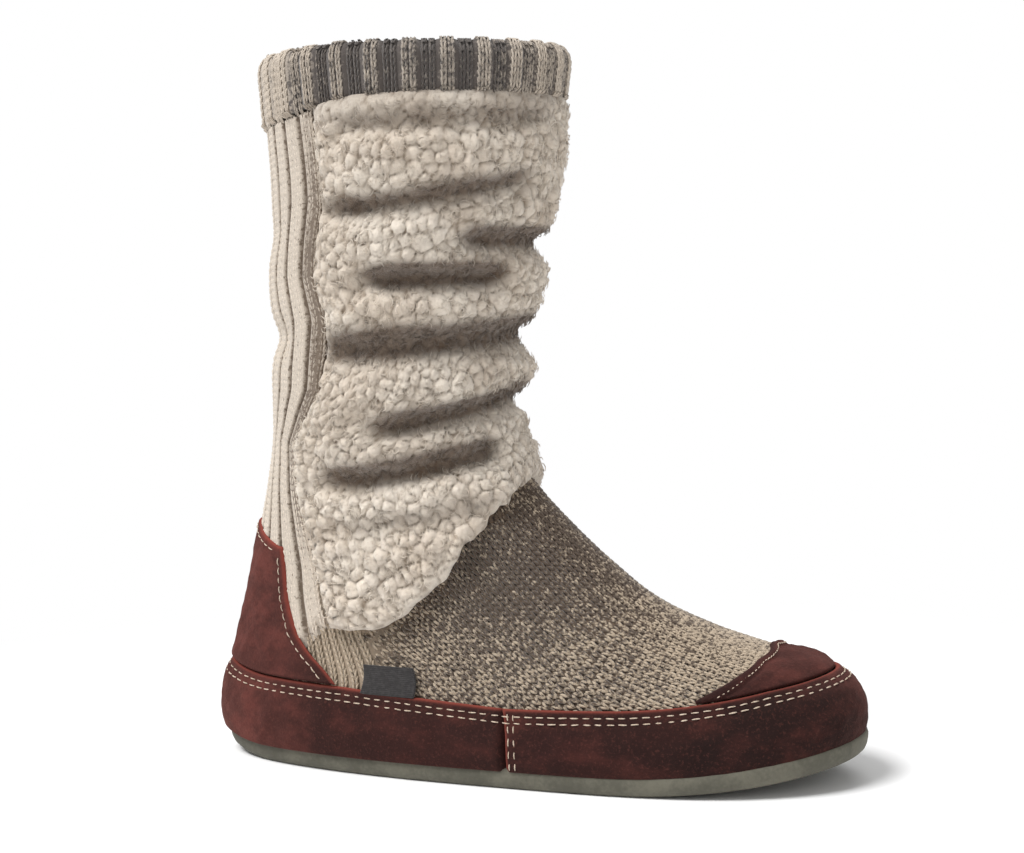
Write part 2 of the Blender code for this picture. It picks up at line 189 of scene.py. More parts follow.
def face(degrees, level):
    """The skin before its folds, as points, for arrays of degrees and levels."""
    degrees, level = np.broadcast_arrays(np.asarray(degrees, float), np.asarray(level, float))
    index = np.clip(level.astype(int), 0, RIM_LEVEL - 1)
    f = (level - index)[..., None]
    # a smooth curve runs through the four rows round the place
    p, q, r, s = (ROWS[np.clip(index + k, 0, RIM_LEVEL)] for k in (-1, 0, 1, 2))
    row = 0.5 * (2 * q + (r - p) * f + (2 * p - 5 * q + 4 * r - s) * f * f
                 + (3 * q - p - 3 * r + s) * f ** 3)
    back_x, back_z, front_x, front_z, rear, middle, fore, square, drift = np.moveaxis(row, -1, 0)
    angle = np.radians(degrees)
    t = 0.5 * (1 - np.cos(angle))
    half = (rear * (t - MIDDLE) * (t - FORE) / ((REAR - MIDDLE) * (REAR - FORE))
            + middle * (t - REAR) * (t - FORE) / ((MIDDLE - REAR) * (MIDDLE - FORE))
            + fore * (t - REAR) * (t - MIDDLE) / ((FORE - REAR) * (FORE - MIDDLE)))
    close = np.maximum(0.0, 1 - np.abs(np.cos(angle)) ** square) ** 0.5
    side = np.where(np.sin(angle) > 0, -1.0, 1.0)
    x = back_x + t * (front_x - back_x)
    z = back_z + t * (front_z - back_z)
    y = side * half * close + drift * np.maximum(0.0, (t - 0.35) / 0.65) ** 1.5
    spring = np.maximum(0.0, (x / LAST_LENGTH - SPRING_START) / (1 - SPRING_START))
    roll = np.maximum(0.0, 1 - x / LAST_LENGTH / ROLL_END)
    lift = TOE_SPRING * spring ** 2 + HEEL_ROLL * roll ** 2
    return np.stack([x - HEEL_SEAT, y, z + SOLE_THICKNESS + lift], -1)


def unit(vectors):
    """The same directions with a length of 1."""
    return vectors / np.maximum(1e-12, np.linalg.norm(vectors, axis=-1, keepdims=True))


def outward(degrees, level):
    """The direction that leads straight out of the skin."""
    low, high = (np.clip(level + step, 0, RIM_LEVEL) for step in (-0.15, 0.15))
    along = face(degrees + 2.0, level) - face(degrees - 2.0, level)
    up = face(degrees, high) - face(degrees, low)
    return unit(np.cross(along, up))


print("toe tip, mm:", np.round(1000 * face(180, 1.0), 1))

# %% [markdown]
# ## The folds of the shaft
# The shaft is a soft tube that has slid down on itself, so it folds in rolls.
# Each fold is listed as a trough: its height at the side and at the
# front, its depth and spread, and the angles between which it opens. The
# troughs carry most of the shaft's character, so they are in the shape and
# not in a texture.

# %% Folds
# heights in shares of the boot's, depth and spread in shares of the pile's
#  side   front  depth  spread begin end
CREASES = (
    (0.905, 0.918, 0.40, 0.55, 64, 176),
    (0.793, 0.846, 0.75, 0.62, 62, 172),
    (0.752, 0.750, 1.00, 0.60, 118, 250),
    (0.697, 0.700, 1.20, 0.60, 82, 164),
    (0.600, 0.624, 1.05, 0.85, 66, 262),
    (0.484, 0.534, 0.95, 0.65, 88, 265),
    (0.420, 0.465, 1.00, 0.65, 64, 168),
    (0.355, 0.395, 0.40, 0.60, 66, 150),
    (0.700, 0.690, 0.85, 0.70, 195, 292),
    (0.800, 0.815, 0.70, 0.70, 210, 300),
    (0.440, 0.470, 0.85, 0.70, 195, 292),
    (0.765, 0.765, 0.40, 1.10, 305, 415),
    (0.620, 0.620, 0.80, 0.90, 300, 420),
)
SKIN_SHARE = 0.5  # how much of a fold the knitting under the pile takes part in
FOLD_FADE = 22    # degrees in which a fold runs out
DEEPEST = 1.25 * FLEECE


def crease_depth(degrees, height):
    """How far the pile's face has sunk at a place on the shaft."""
    turned = np.mod(degrees, 360)
    near = near_degrees(degrees)
    total = np.zeros(np.shape(turned))
    for side, front, depth, spread, begin, end in CREASES:
        place = np.where(turned >= begin, turned, turned + 360)
        middle = (side + (front - side) * np.maximum(0.0, (near - 90) / 90)) * BOOT_HEIGHT
        reach = np.clip(np.minimum(place - begin, end - place) / FOLD_FADE, 0, 1)
        fall = np.exp(-(((height - middle) / (spread * FLEECE)) ** 2))
        total += depth * FLEECE * fall * reach * reach * (3 - 2 * reach)
    return np.minimum(total, DEEPEST)


def raised(column, level, off=0.0):
    """Points held off the folded skin, with the outward direction there."""
    column, level = np.broadcast_arrays(np.asarray(column, float), np.asarray(level, float))
    degrees = column_angle(column, level)
    plain = face(degrees, level)
    out = outward(degrees, level)
    on_shaft = np.clip(level - (ANKLE_LEVEL - 5), 0, 1)  # no fold runs on to the foot
    folded = on_shaft * SKIN_SHARE * crease_depth(degrees, plain[..., 2])
    return plain + out * np.asarray(off - folded)[..., None], out


print("deepest fold, mm:", round(1000 * float(crease_depth(120.0, 0.62 * BOOT_HEIGHT)), 1))

# %% [markdown]
# ## Helpers for meshes
# A grid of points becomes a mesh of quads. Where a piece has a real thickness
# it is two grids sewn together round their rim, so that it is closed. Values
# such as how near a point is to a raw edge are kept on the points, and the
# materials read them.

# %% Make a piece from a grid
WANTED = bpy.context.scene.collection


def quads(rows, columns, closed=False):
    """Corner numbers of a grid's quads, wound to face the way raised() points."""
    a = np.arange(rows * columns).reshape(rows, columns)
    b = np.roll(a, -1, axis=1) if closed else a[:, 1:]
    a = a if closed else a[:, :-1]
    return np.stack([a[:-1], b[:-1], b[1:], a[1:]], -1).reshape(-1, 4)


def keep_marks(mesh, kind, field, marks):
    """Keep named values on a mesh's points."""
    for label, values in marks.items():
        kept = mesh.attributes.new(label, kind, "POINT")
        kept.data.foreach_set(field, np.asarray(values, np.float32).ravel())


def place_piece(name, mesh):
    """Put a finished mesh in the scene, riding on the boot."""
    mesh.polygons.foreach_set("use_smooth", [True] * len(mesh.polygons))
    made = bpy.data.objects.new(name, mesh)
    WANTED.objects.link(made)
    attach(made, "root")
    print(name, "triangles:", sum(len(p.vertices) - 2 for p in mesh.polygons))
    return made


def make_piece(name, points, faces, finish, marks=None, stands_for=()):
    """A piece from points and faces; stands_for names the CAD nodes it replaces."""
    mesh = bpy.data.meshes.new(name)
    corners = [list(numbers) for numbers in faces]
    mesh.from_pydata(np.asarray(points).reshape(-1, 3).tolist(), [], corners)
    keep_marks(mesh, "FLOAT", "value", marks or {})
    mesh.update()
    mesh.materials.append(finish)
    made = place_piece(name, mesh)
    if stands_for:
        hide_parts(*stands_for)
    return made


print("quads of a 3 by 4 grid:", len(quads(3, 4)))

# %% Shells and waves


def shell(inner, outer):
    """Two grids of one size sewn into a closed shell: points and faces."""
    rows, columns = outer.shape[:2]
    count = rows * columns
    front = quads(rows, columns)
    number = np.arange(count).reshape(rows, columns)
    rim = np.concatenate([number[0], number[1:, -1], number[-1, -2::-1], number[-2:0:-1, 0]])
    after = np.roll(rim, -1)
    sides = np.stack([rim + count, after + count, after, rim], -1)
    faces = [*front.tolist(), *(front[:, ::-1] + count).tolist(), *sides.tolist()]
    return np.concatenate([outer.reshape(-1, 3), inner.reshape(-1, 3)]), faces


def waves(points, length, seed, count=20):
    """Smooth, seeded unevenness about zero: many plane waves added up."""
    chance = np.random.default_rng(seed)
    ways = unit(chance.normal(size=(count, 3))) * chance.uniform(0.7, 1.4, (count, 1))
    ways = ways * 2 * np.pi / length
    return np.sin(points @ ways.T + chance.uniform(0, 2 * np.pi, count)).sum(-1) / math.sqrt(count)


print("unevenness at the heel:", round(float(waves(np.zeros(3), 0.03, 1)), 2))

# %% [markdown]
# ## Node graphs written as Python
# Materials and Geometry Nodes are both graphs. Wire wraps a socket so that
# sums can be written as sums: 1 - mask adds a Math node. Graph.node is the one
# way that any node is made: its type, its settings, then its sockets' values.

# %% Graph and Wire


class Wire:
    """An output socket that can be used in Python arithmetic."""

    def __init__(self, graph, socket):
        self.graph, self.socket = graph, socket

    def join(self, operation, first, second=0.0):
        return self.graph.node("ShaderNodeMath", {"operation": operation}, {0: first, 1: second})

    def __add__(self, other): return self.join("ADD", self, other)
    def __radd__(self, other): return self.join("ADD", other, self)
    def __sub__(self, other): return self.join("SUBTRACT", self, other)
    def __rsub__(self, other): return self.join("SUBTRACT", other, self)
    def __mul__(self, other): return self.join("MULTIPLY", self, other)
    def __rmul__(self, other): return self.join("MULTIPLY", other, self)
    def __pow__(self, other): return self.join("POWER", self, other)
    def sine(self): return self.join("SINE", self)
    def most(self, other): return self.join("MAXIMUM", self, other)


class Graph:
    """A node tree that is filled from Python."""

    def __init__(self, tree):
        self.tree = tree

    def node(self, kind, settings=None, values=None, out=0):
        """Any node; a list as a value joins several wires to one socket."""
        made = self.tree.nodes.new(kind)
        for name, value in (settings or {}).items():
            setattr(made, name, value)
        for name, value in (values or {}).items():
            for one in value if isinstance(value, list) else [value]:
                if isinstance(one, Wire):
                    self.tree.links.new(one.socket, made.inputs[name])
                else:
                    made.inputs[name].default_value = one
        return Wire(self, made.outputs[out])

    def vector(self, x, y, z):
        return self.node("ShaderNodeCombineXYZ", None, {0: x, 1: y, 2: z})


print("sums of a Wire with a name:", [word for word in vars(Wire) if "__" not in word])

# %% [markdown]
# ## Finishes
# Each finish starts from the place on the object in metres, so patterns keep
# their real size: about a millimetre for yarn and nap, centimetres for the
# slow changes of shade. Bumps carry fibres that are too fine to model.

# %% Start a finish


def shade(red, green, blue):
    """A colour as the eye sees it, 0 to 255, as the numbers that light is mixed in."""
    seen = (red / 255, green / 255, blue / 255)
    return tuple(v / 12.92 if v <= 0.04045 else ((v + 0.055) / 1.055) ** 2.4 for v in seen)


class Finish(Graph):
    """One material: a Principled shader and helpers for its patterns."""

    def __init__(self, name, **constants):
        self.material = bpy.data.materials.new(name)
        self.material.use_nodes = True
        super().__init__(self.material.node_tree)
        self.shader = self.tree.nodes["Principled BSDF"]
        for label, value in constants.items():
            self.shader.inputs[label.replace("_", " ")].default_value = value
        self.place = self.node("ShaderNodeTexCoord", None, None, out=3)

    def noise(self, size, detail=3.0, rough=0.55, stretch=None):
        """Uneven patches about size metres wide, from 0 to 1."""
        where = self.place
        if stretch:
            stretched = {0: where, 1: stretch}
            where = self.node("ShaderNodeVectorMath", {"operation": "MULTIPLY"}, stretched)
        values = {"Vector": where, "Scale": 1.0 / size, "Detail": detail, "Roughness": rough}
        return self.node("ShaderNodeTexNoise", None, values)

    def distance(self, place):
        return self.node("ShaderNodeVectorMath", {"operation": "DISTANCE"},
                         {0: self.place, 1: place}, out=1)

    def mark(self, label):
        """A value that the mesh keeps on its points."""
        return self.node("ShaderNodeAttribute", {"attribute_name": label}, None, out=2)

    def ramp(self, value, low, high):
        """0 below low, 1 above high, softly in between."""
        return self.node("ShaderNodeMapRange", {"interpolation_type": "SMOOTHSTEP"},
                         {0: value, 1: low, 2: high})

    def mix(self, share, first, second):
        first, second = (c if isinstance(c, Wire) else (*c, 1.0) for c in (first, second))
        values = {0: share, 6: first, 7: second}
        return self.node("ShaderNodeMix", {"data_type": "RGBA"}, values, out=2)

    def feed(self, **sockets):
        for label, value in sockets.items():
            self.tree.links.new(value.socket, self.shader.inputs[label.replace("_", " ")])

    def bump(self, height, depth, strength=1.0):
        """Relief from a height of 0 to 1 that stands depth metres high."""
        values = {"Height": height, "Distance": depth, "Strength": strength}
        self.feed(Normal=self.node("ShaderNodeBump", None, values))


print("a middle grey:", [round(v, 3) for v in shade(128, 128, 128)])

# %% [markdown]
# ## Light and floor
# The boot stands on a plain pale floor in soft studio light: a wide sun from the
# upper left in front, weak lamps from the right and behind, and a bright
# surround. Wide, soft light gives the pile its gentle shading and a faint shadow.

# %% Surround and lamps
SURROUND, SEEN_WHITE = 0.44, 0.56  # how bright for the boot, and what the eye sees more
SUN_FROM, SUN_POWER, SUN_WIDTH = Vector((-0.66, -0.68, 1.45)), 3.1, math.radians(28)
LAMPS = (("fill", (1.2, -0.9, 0.7), 2.0), ("back", (0.2, 1.1, 1.2), 5.0))
LAMP_SIZE, LAMP_AIM = 1.0, Vector((0.09, 0, 0.12))


def surround():
    world = bpy.data.worlds.new("surround")
    world.use_nodes = True
    seen = Graph(world.node_tree).node("ShaderNodeLightPath")
    background = world.node_tree.nodes["Background"]
    brightness = SURROUND + seen * SEEN_WHITE
    world.node_tree.links.new(brightness.socket, background.inputs[1])
    background.inputs[0].default_value = (1.0, 1.0, 1.0, 1.0)
    bpy.context.scene.world = world
    bpy.context.scene.view_settings.view_transform = "Standard"


def make_light(name, kind, power, away):
    """A light whose beam comes from the direction away."""
    light = bpy.data.objects.new(name, bpy.data.lights.new(name, kind))
    light.data.energy = power
    light.rotation_euler = away.to_track_quat("Z", "Y").to_euler()
    WANTED.objects.link(light)
    return light


def lights():
    make_light("key", "SUN", SUN_POWER, SUN_FROM).data.angle = SUN_WIDTH
    for name, place, power in LAMPS:
        lamp = make_light(name, "AREA", power, Vector(place) - LAMP_AIM)
        lamp.data.shape, lamp.data.size = "DISK", LAMP_SIZE
        lamp.location = place


surround()
lights()
print("lights:", 1 + len(LAMPS))

# %% Floor
FLOOR_REACH = 40.0
PAPER_NEAR, PAPER_FAR = 0.16, 0.42


def make_floor():
    mesh = bpy.data.meshes.new("floor")
    corners = np.array(((-1, -1, 0), (1, -1, 0), (1, 1, 0), (-1, 1, 0))) * FLOOR_REACH
    mesh.from_pydata(corners.tolist(), [], [(0, 1, 2, 3)])
    floor = bpy.data.objects.new("floor", mesh)
    WANTED.objects.link(floor)
    # far from the boot the paper gives off white, so no edge of the floor shows
    paper = Finish("paper", Roughness=0.9, Emission_Strength=1.0, Specular_IOR_Level=0.0)
    fade = paper.ramp(paper.distance((0.09, 0.0, 0.0)), PAPER_NEAR, PAPER_FAR)
    black, white = (0.0, 0.0, 0.0), (1.0, 1.0, 1.0)
    paper.feed(Base_Color=paper.mix(fade, shade(248, 248, 248), black),
               Emission_Color=paper.mix(fade, black, white))
    mesh.materials.append(paper.material)
    print("floor, m:", 2 * FLOOR_REACH)


make_floor()

# %% [markdown]
# ## Laying a small shape many times
# Stitches, curls of pile and sewing thread are each one small shape laid at
# many places. Geometry Nodes do this: the places come in as points that know
# which way is out and which way the row runs, the tree bends one short piece of
# yarn from its named sizes, puts it on every point, and makes real mesh of it.

# %% Small shapes of yarn


def yarn_leg(g, points, thick, taper, steps=3, sides=4):
    """One bent piece of yarn through three points; taper is how much its ends thin."""
    bend = {0: steps, 1: points[0], 2: points[1], 3: points[2]}
    line = g.node("GeometryNodeCurveQuadraticBezier", None, bend)
    ring = g.node("GeometryNodeCurvePrimitiveCircle", None, {0: sides, 4: thick * 0.5})
    along = g.node("GeometryNodeSplineParameter")
    full = ((along * math.pi).sine() ** 0.6) * taper + (1.0 - taper)
    return g.node("GeometryNodeCurveToMesh", None, {0: line, 1: ring, 2: full})


def knit_shape(g, long, wide, thick):
    """The V of a knit stitch: two legs that part upward."""
    legs = []
    for side in (-1.0, 1.0):
        points = [g.vector(long * -0.80, wide * (0.10 * side), thick * -0.55),
                  g.vector(long * -0.10, wide * (0.24 * side), thick * 0.85),
                  g.vector(long * 0.72, wide * (0.41 * side), thick * -0.35)]
        legs.append(yarn_leg(g, points, thick, 0.35))
    return legs


def thread_shape(g, long, wide, thick):
    """A saddle stitch: it comes up, lies flat and goes down again."""
    points = [g.vector(long * -0.5, 0.0, thick * -0.5), g.vector(0.0, 0.0, thick * 1.3),
              g.vector(long * 0.5, 0.0, thick * -0.5)]
    return [yarn_leg(g, points, thick, 0.3)]


def curl_shape(g, long, wide, thick):
    """A curl of pile: rooted in the cloth, bent over at its tip."""
    points = [g.vector(long * -0.4, wide * -0.5, thick * -0.8),
              g.vector(long * 0.1, wide * 1.2, thick * 2.5),
              g.vector(long * 0.45, wide * -0.7, thick * -0.4)]
    return [yarn_leg(g, points, thick, 0.7, 2, 3)]


print("shapes of yarn:", [shape.__name__ for shape in (knit_shape, thread_shape, curl_shape)])

# %% The tree that lays them
TREE_INPUTS = (
    ("Places", "Geometry"), ("Length", "Float"), ("Width", "Float"), ("Thickness", "Float"),
    ("Spread", "Float"), ("Seed", "Int"), ("Material", "Material"),
)


def laying_tree(name, shape):
    """Bend one shape, put it on every point with its own size, and make it real mesh."""
    tree = bpy.data.node_groups.new(name, "GeometryNodeTree")
    for label, kind in TREE_INPUTS:
        tree.interface.new_socket(label, in_out="INPUT", socket_type=f"NodeSocket{kind}")
    tree.interface.new_socket("Laid", in_out="OUTPUT", socket_type="NodeSocketGeometry")
    g = Graph(tree)
    given = tree.nodes.new("NodeGroupInput")
    wires = [Wire(g, given.outputs[k]) for k in range(len(TREE_INPUTS))]
    places, long, wide, thick, spread, seed, finish = wires
    one = g.node("GeometryNodeJoinGeometry", None, {0: shape(g, long, wide, thick)})
    out, way = (g.node("GeometryNodeInputNamedAttribute", {"data_type": "FLOAT_VECTOR"}, {0: label})
                for label in ("out", "way"))
    turn = g.node("FunctionNodeAxesToRotation", {"primary_axis": "Z", "secondary_axis": "X"},
                  {0: out, 1: way})
    chance = g.node("FunctionNodeRandomValue", {"data_type": "FLOAT"},
                    {2: 0.0, 3: 1.0, "Seed": seed}, out=1)
    scale = 1.0 + (chance - 0.5) * spread
    laid = g.node("GeometryNodeInstanceOnPoints", None,
                  {0: places, 2: one, 5: turn, 6: g.vector(scale, scale, scale)})
    kept = g.node("GeometryNodeStoreNamedAttribute", {"data_type": "FLOAT", "domain": "INSTANCE"},
                  {0: laid, "Name": "chance", "Value": chance})
    real = g.node("GeometryNodeRealizeInstances", None, {0: kept})
    done = g.node("GeometryNodeSetMaterial", None, {0: real, 2: finish})
    result = tree.nodes.new("NodeGroupOutput")
    tree.links.new(done.socket, result.inputs[0])
    return tree


print("inputs of the tree:", [label for label, _ in TREE_INPUTS])

# %% Lay a shape at many places


def lay(name, shape, places, finish, sizes, spread=0.0, seed=1, marks=None):
    """Lay a shape at every place. sizes are its length, width and thickness in metres."""
    spots, ways, outs = places
    mesh = bpy.data.meshes.new(name + "_places")
    mesh.from_pydata(np.asarray(spots).tolist(), [], [])
    keep_marks(mesh, "FLOAT_VECTOR", "vector", {"way": ways, "out": outs})
    keep_marks(mesh, "FLOAT", "value", marks or {})
    base = bpy.data.objects.new(name + "_places", mesh)
    WANTED.objects.link(base)
    added = base.modifiers.new("laying", "NODES")
    added.node_group = laying_tree(name, shape)
    given = {"Spread": spread, "Seed": seed, "Material": finish}
    given.update(zip(("Length", "Width", "Thickness"), sizes))
    for item in added.node_group.interface.items_tree:
        if item.in_out == "INPUT" and item.name in given:
            added[item.identifier] = given[item.name]
    base.update_tag()
    bpy.context.view_layer.update()
    evaluated = base.evaluated_get(bpy.context.evaluated_depsgraph_get())
    plain = bpy.data.meshes.new_from_object(evaluated)
    plain.name = name
    for spare in ("way", "out"):
        if spare in plain.attributes:
            plain.attributes.remove(plain.attributes[spare])
    if not plain.materials:
        plain.materials.append(finish)
    base.modifiers.clear()
    bpy.data.objects.remove(base)
    print(name, "laid:", len(spots))
    return place_piece(name, plain)


print("sizes of a laid shape:", [label for label, kind in TREE_INPUTS if kind == "Float"])

# %% [markdown]
# ## Finding the places
# A row of thread or a column of ribbing follows one line, so march() walks along
# a line and stops at every step. The knitted foot is harder: its columns run
# down the instep to the toe. lay_out() takes two measures kept on a fine grid,
# one along the knitting and one across it, and finds every place where both
# are whole steps.

# %% Walk along lines
LOOK = 0.0004  # how far to look ahead and back for a line's direction


def running(points, axis=0):
    """How far each point is along its line of points, in metres."""
    steps = np.linalg.norm(np.diff(points, axis=axis), axis=-1)
    return np.insert(np.cumsum(steps, axis=axis), 0, 0.0, axis=axis)


def march(points, outs, step):
    """Places at even steps along one line of points."""
    run = running(points)
    count = max(1, round(run[-1] / step))
    stops = (np.arange(count) + 0.5) * run[-1] / count

    def read(values, where):
        return np.stack([np.interp(where, run, values[:, k]) for k in range(3)], 1)

    ways = unit(read(points, stops + LOOK) - read(points, stops - LOOK))
    return read(points, stops), ways, unit(read(outs, stops)), stops / run[-1]


def march_all(lines, step):
    """march() along many lines, one after another; also gives each line's number."""
    found = [march(points, outs, step) for points, outs in lines]
    numbers = np.concatenate([np.full(len(f[0]), k) for k, f in enumerate(found)])
    return (*(np.concatenate([f[i] for f in found]) for i in range(4)), numbers)


heel_line = raised(np.zeros(50), np.linspace(5, 16, 50))
print("steps of 3 mm up the back:", len(march(*heel_line, 0.003)[0]))

# %% Find places on a grid


def lay_out(points, outs, u, v, step_u, step_v):
    """Places on a grid where u and v are both whole steps, and the way u grows."""
    corner = quads(*u.shape)
    triangles = np.concatenate([corner[:, [0, 1, 2]], corner[:, [0, 2, 3]]])
    flat, away = points.reshape(-1, 3), outs.reshape(-1, 3)
    uv = np.stack([u.ravel() / step_u, v.ravel() / step_v], 1)[triangles]
    first = np.ceil(uv.min(1))
    e1, e2 = uv[:, 1] - uv[:, 0], uv[:, 2] - uv[:, 0]
    area = e1[:, 0] * e2[:, 1] - e1[:, 1] * e2[:, 0]
    sound = np.abs(area) > 1e-9
    spots, ways, normals = [], [], []
    for du in (0, 1):
        for dv in (0, 1):
            want = first + (du, dv) - uv[:, 0]
            with np.errstate(divide="ignore", invalid="ignore"):
                s = (want[:, 0] * e2[:, 1] - want[:, 1] * e2[:, 0]) / area
                t = (e1[:, 0] * want[:, 1] - e1[:, 1] * want[:, 0]) / area
            hit = sound & (s >= 0) & (t >= 0) & (s + t < 1)
            a, b, c = (flat[triangles[hit, k]] for k in range(3))
            s, t = s[hit, None], t[hit, None]
            spots.append(a + (b - a) * s + (c - a) * t)
            grow = (e2[hit, 1:2] * (b - a) - e1[hit, 1:2] * (c - a)) / area[hit, None]
            ways.append(unit(grow))
            a, b, c = (away[triangles[hit, k]] for k in range(3))
            normals.append(unit(a * (1 - s - t) + b * s + c * t))
    return tuple(np.concatenate(found) for found in (spots, ways, normals))


def tree_of(points):
    """A tree that finds the nearest of many points quickly."""
    tree = KDTree(len(points))
    for index, place in enumerate(points):
        tree.insert(place, index)
    tree.balance()
    return tree


patch = raised(np.arange(10, 13, 0.25)[None, :], np.arange(12, 15, 0.25)[:, None])
found = lay_out(*patch, running(patch[0]), running(patch[0], 1), 0.003, 0.003)
print("places 3 mm apart on a patch of the shaft:", len(found[0]))

# %% [markdown]
# ## The knitted foot
# The foot is a heavy sock in marled yarn, a brown and a cream strand twisted
# together. Its columns of V stitches run parallel to the instep, from the
# ankle down to the toe, and dive under the rand. The real stitches are
# modelled, because at this size their relief and the dark gaps between them
# are what the eye reads as knitting. Each place is measured from the instep's
# ridge line: u along it, v round the girth away from it.

# %% Measure the foot from its ridge
# degrees from the heel, and the level of an edge there
RAND_TOP = ((0, 3.80), (60, 3.53), (93, 3.15), (110, 3.30), (130, 3.45), (147, 3.55), (180, 3.48))
HEM = ((60, 6.20), (66, 6.12), (74, 6.20), (89, 7.05), (104, 8.00), (119, 8.80), (143, 9.60),
       (165, 10.0), (180, 10.1))
CAP_EDGE = ((130, 3.62), (136, 3.92), (145, 4.30), (158, 4.74), (180, 5.08))
KNIT_OFF = 0.0002
ROUNDNESS = 1.4  # how squarely the courses turn from over the instep to the sides


def ridge_measures(points):
    """Along and across measures of places on the foot, in metres."""
    ridge = face(180.0, np.linspace(11.8, 0.6, 900))[:, [0, 2]]
    flat = points.reshape(-1, 3)
    nearest = np.empty(len(flat), int)
    for k in range(0, len(flat), 4000):
        gap = flat[k:k + 4000, None, [0, 2]] - ridge[None]
        nearest[k:k + 4000] = (gap ** 2).sum(-1).argmin(1)
    nearest = np.clip(nearest, 1, len(ridge) - 2)
    way = unit(ridge[nearest + 1] - ridge[nearest - 1])
    gap = flat[:, [0, 2]] - ridge[nearest]
    past = (gap * way).sum(1)
    below = np.abs(gap[:, 0] * way[:, 1] - gap[:, 1] * way[:, 0])
    # low on the foot the courses turn to follow the rand
    level_drop = 0.128 - flat[:, 2] - 0.32 * (flat[:, 0] - 0.06)
    blend = np.clip((below - 0.015) / 0.07, 0, 1)
    down = below + 0.55 * blend * blend * (level_drop - below) * 0.5
    side = np.sign(flat[:, 1] + 1e-9)
    across = np.abs(flat[:, 1]) ** ROUNDNESS + np.maximum(down, 0) ** ROUNDNESS
    across = across ** (1 / ROUNDNESS) * side
    return tuple(v.reshape(points.shape[:2]) for v in (running(ridge)[nearest] + past, across))


foot_columns = np.arange(5.0, 31.01, 0.08)
foot_levels = np.arange(2.3, 10.45, 0.11)
foot_points, foot_outs = raised(foot_columns[None, :], foot_levels[:, None], KNIT_OFF)
foot_u, foot_v = ridge_measures(foot_points)
print("knitting runs, mm:", [round(1000 * float(np.ptp(run))) for run in (foot_u, foot_v)])

# %% Yarn finish


def yarn(name, light, dark, amount, fibre_gap_shade=0.45):
    """Marled yarn. amount is the dark strand's share where the mark tone is 0, and
    the last argument is how much painted shade darkens the gaps between its fibres."""
    f = Finish(name, Roughness=0.95, Sheen_Weight=0.25, Sheen_Roughness=0.6)
    strand = f.noise(0.0015, 2.0, 0.6)
    slow = f.noise(0.012, 3.0)
    # the tone mark holds the yarn's own darker and paler runs, and on the strip and cuff painted
    # shade as well
    tone = f.mark("tone") + (slow - 0.5) * 0.2 + (f.mark("chance") - 0.5) * 0.7
    edge = 0.62 - (tone * 0.6 + amount) * 0.30
    twist = f.ramp(strand, edge - 0.09, edge + 0.11)
    colour = f.mix(f.ramp(tone, 0.0, 2.4) * 0.75, f.mix(twist, light, dark), dark)
    # painted shade in the gaps between the fibres
    fibres = f.noise(0.0005, 3.0, 0.7)
    colour = f.mix(f.ramp(fibres, 0.35, 0.75) * fibre_gap_shade, colour, tuple(0.45 * v for v in dark))
    f.feed(Base_Color=colour)
    f.bump(f.noise(0.00035, 2.0), 0.00025, 0.8)
    return f.material


foot_yarn = yarn("foot_yarn", shade(192, 174, 151), shade(84, 68, 54), 0.35)
print("foot yarn's nodes:", len(foot_yarn.node_tree.nodes))

# %% Where the foot's stitches go
WALE, COURSE, FOOT_YARN_THICK = 0.0031, 0.0026, 0.00125
TUCK, CAP_TUCK = 0.12, 0.15  # how far, in levels, stitches run in under other pieces
KNIT_FROM, CAP_FROM = 69, 131  # degrees where the slanting stitches and the cap begin
SIDE_COLUMNS, SIDE_OFF, SIDE_TONE = np.arange(4.6, 6.95, 0.27), 0.0005, -0.8


def edge_level(table, column):
    """The level of an edge at a column."""
    return at(table, near_degrees(360 * column / COLUMNS))


def foot_places():
    """Places that show: above the rand, below the hem, behind the toe cap."""
    spots, ways, outs = lay_out(foot_points, foot_outs, foot_u, foot_v, COURSE, WALE)
    tree = tree_of(foot_points.reshape(-1, 3))
    nearest = np.array([tree.find(place)[1] for place in spots])
    column = np.broadcast_to(foot_columns[None, :], foot_u.shape).ravel()[nearest]
    level = np.broadcast_to(foot_levels[:, None], foot_u.shape).ravel()[nearest]
    degrees = near_degrees(360 * column / COLUMNS)
    keep = (level > at(RAND_TOP, degrees) - TUCK) & (level < at(HEM, degrees) + TUCK)
    keep &= ~((degrees > CAP_FROM) & (level < at(CAP_EDGE, degrees) - CAP_TUCK))
    keep &= degrees > KNIT_FROM
    return spots[keep], ways[keep], outs[keep]


def foot_tone(spots):
    """Dark at the ankle, paler toward the toe and palest at the heel."""
    ahead, up = (spots[:, 0] - 0.100) / 0.045, (spots[:, 2] - 0.085) / 0.035
    near_ankle = np.exp(-(ahead ** 2 + up ** 2))
    toward_toe = np.clip((spots[:, 0] - 0.13) / 0.08, 0, 1)
    toward_heel = np.clip((0.045 - spots[:, 0]) / 0.035, 0, 1)
    return 0.9 * near_ankle - 0.30 * toward_toe - 1.0 * toward_heel


def side_places():
    """Beside the rib strip the knitting runs straight up."""
    lines = []
    for column in SIDE_COLUMNS:
        low, high = edge_level(RAND_TOP, column) - 0.1, edge_level(HEM, column) + 0.1
        level = np.linspace(low, high, 120)
        for side in (column, COLUMNS - column):
            lines.append(raised(np.full(120, side), level, SIDE_OFF))
    return march_all(lines, COURSE)[:3]


foot, beside = foot_places(), side_places()
tone = np.concatenate([foot_tone(foot[0]), np.full(len(beside[0]), SIDE_TONE)])
foot_spots = [np.concatenate(pair) for pair in zip(foot, beside)]
print("stitches of the foot:", len(tone))

# %% Lay the foot's stitches
outer_half = foot_spots[0][:, 1] < 0
for name, pick, seed in (("stitches_outer", outer_half, 3), ("stitches_inner", ~outer_half, 4)):
    lay(name, knit_shape, [values[pick] for values in foot_spots], foot_yarn,
        (COURSE, WALE, FOOT_YARN_THICK), 0.12, seed, {"tone": tone[pick]})
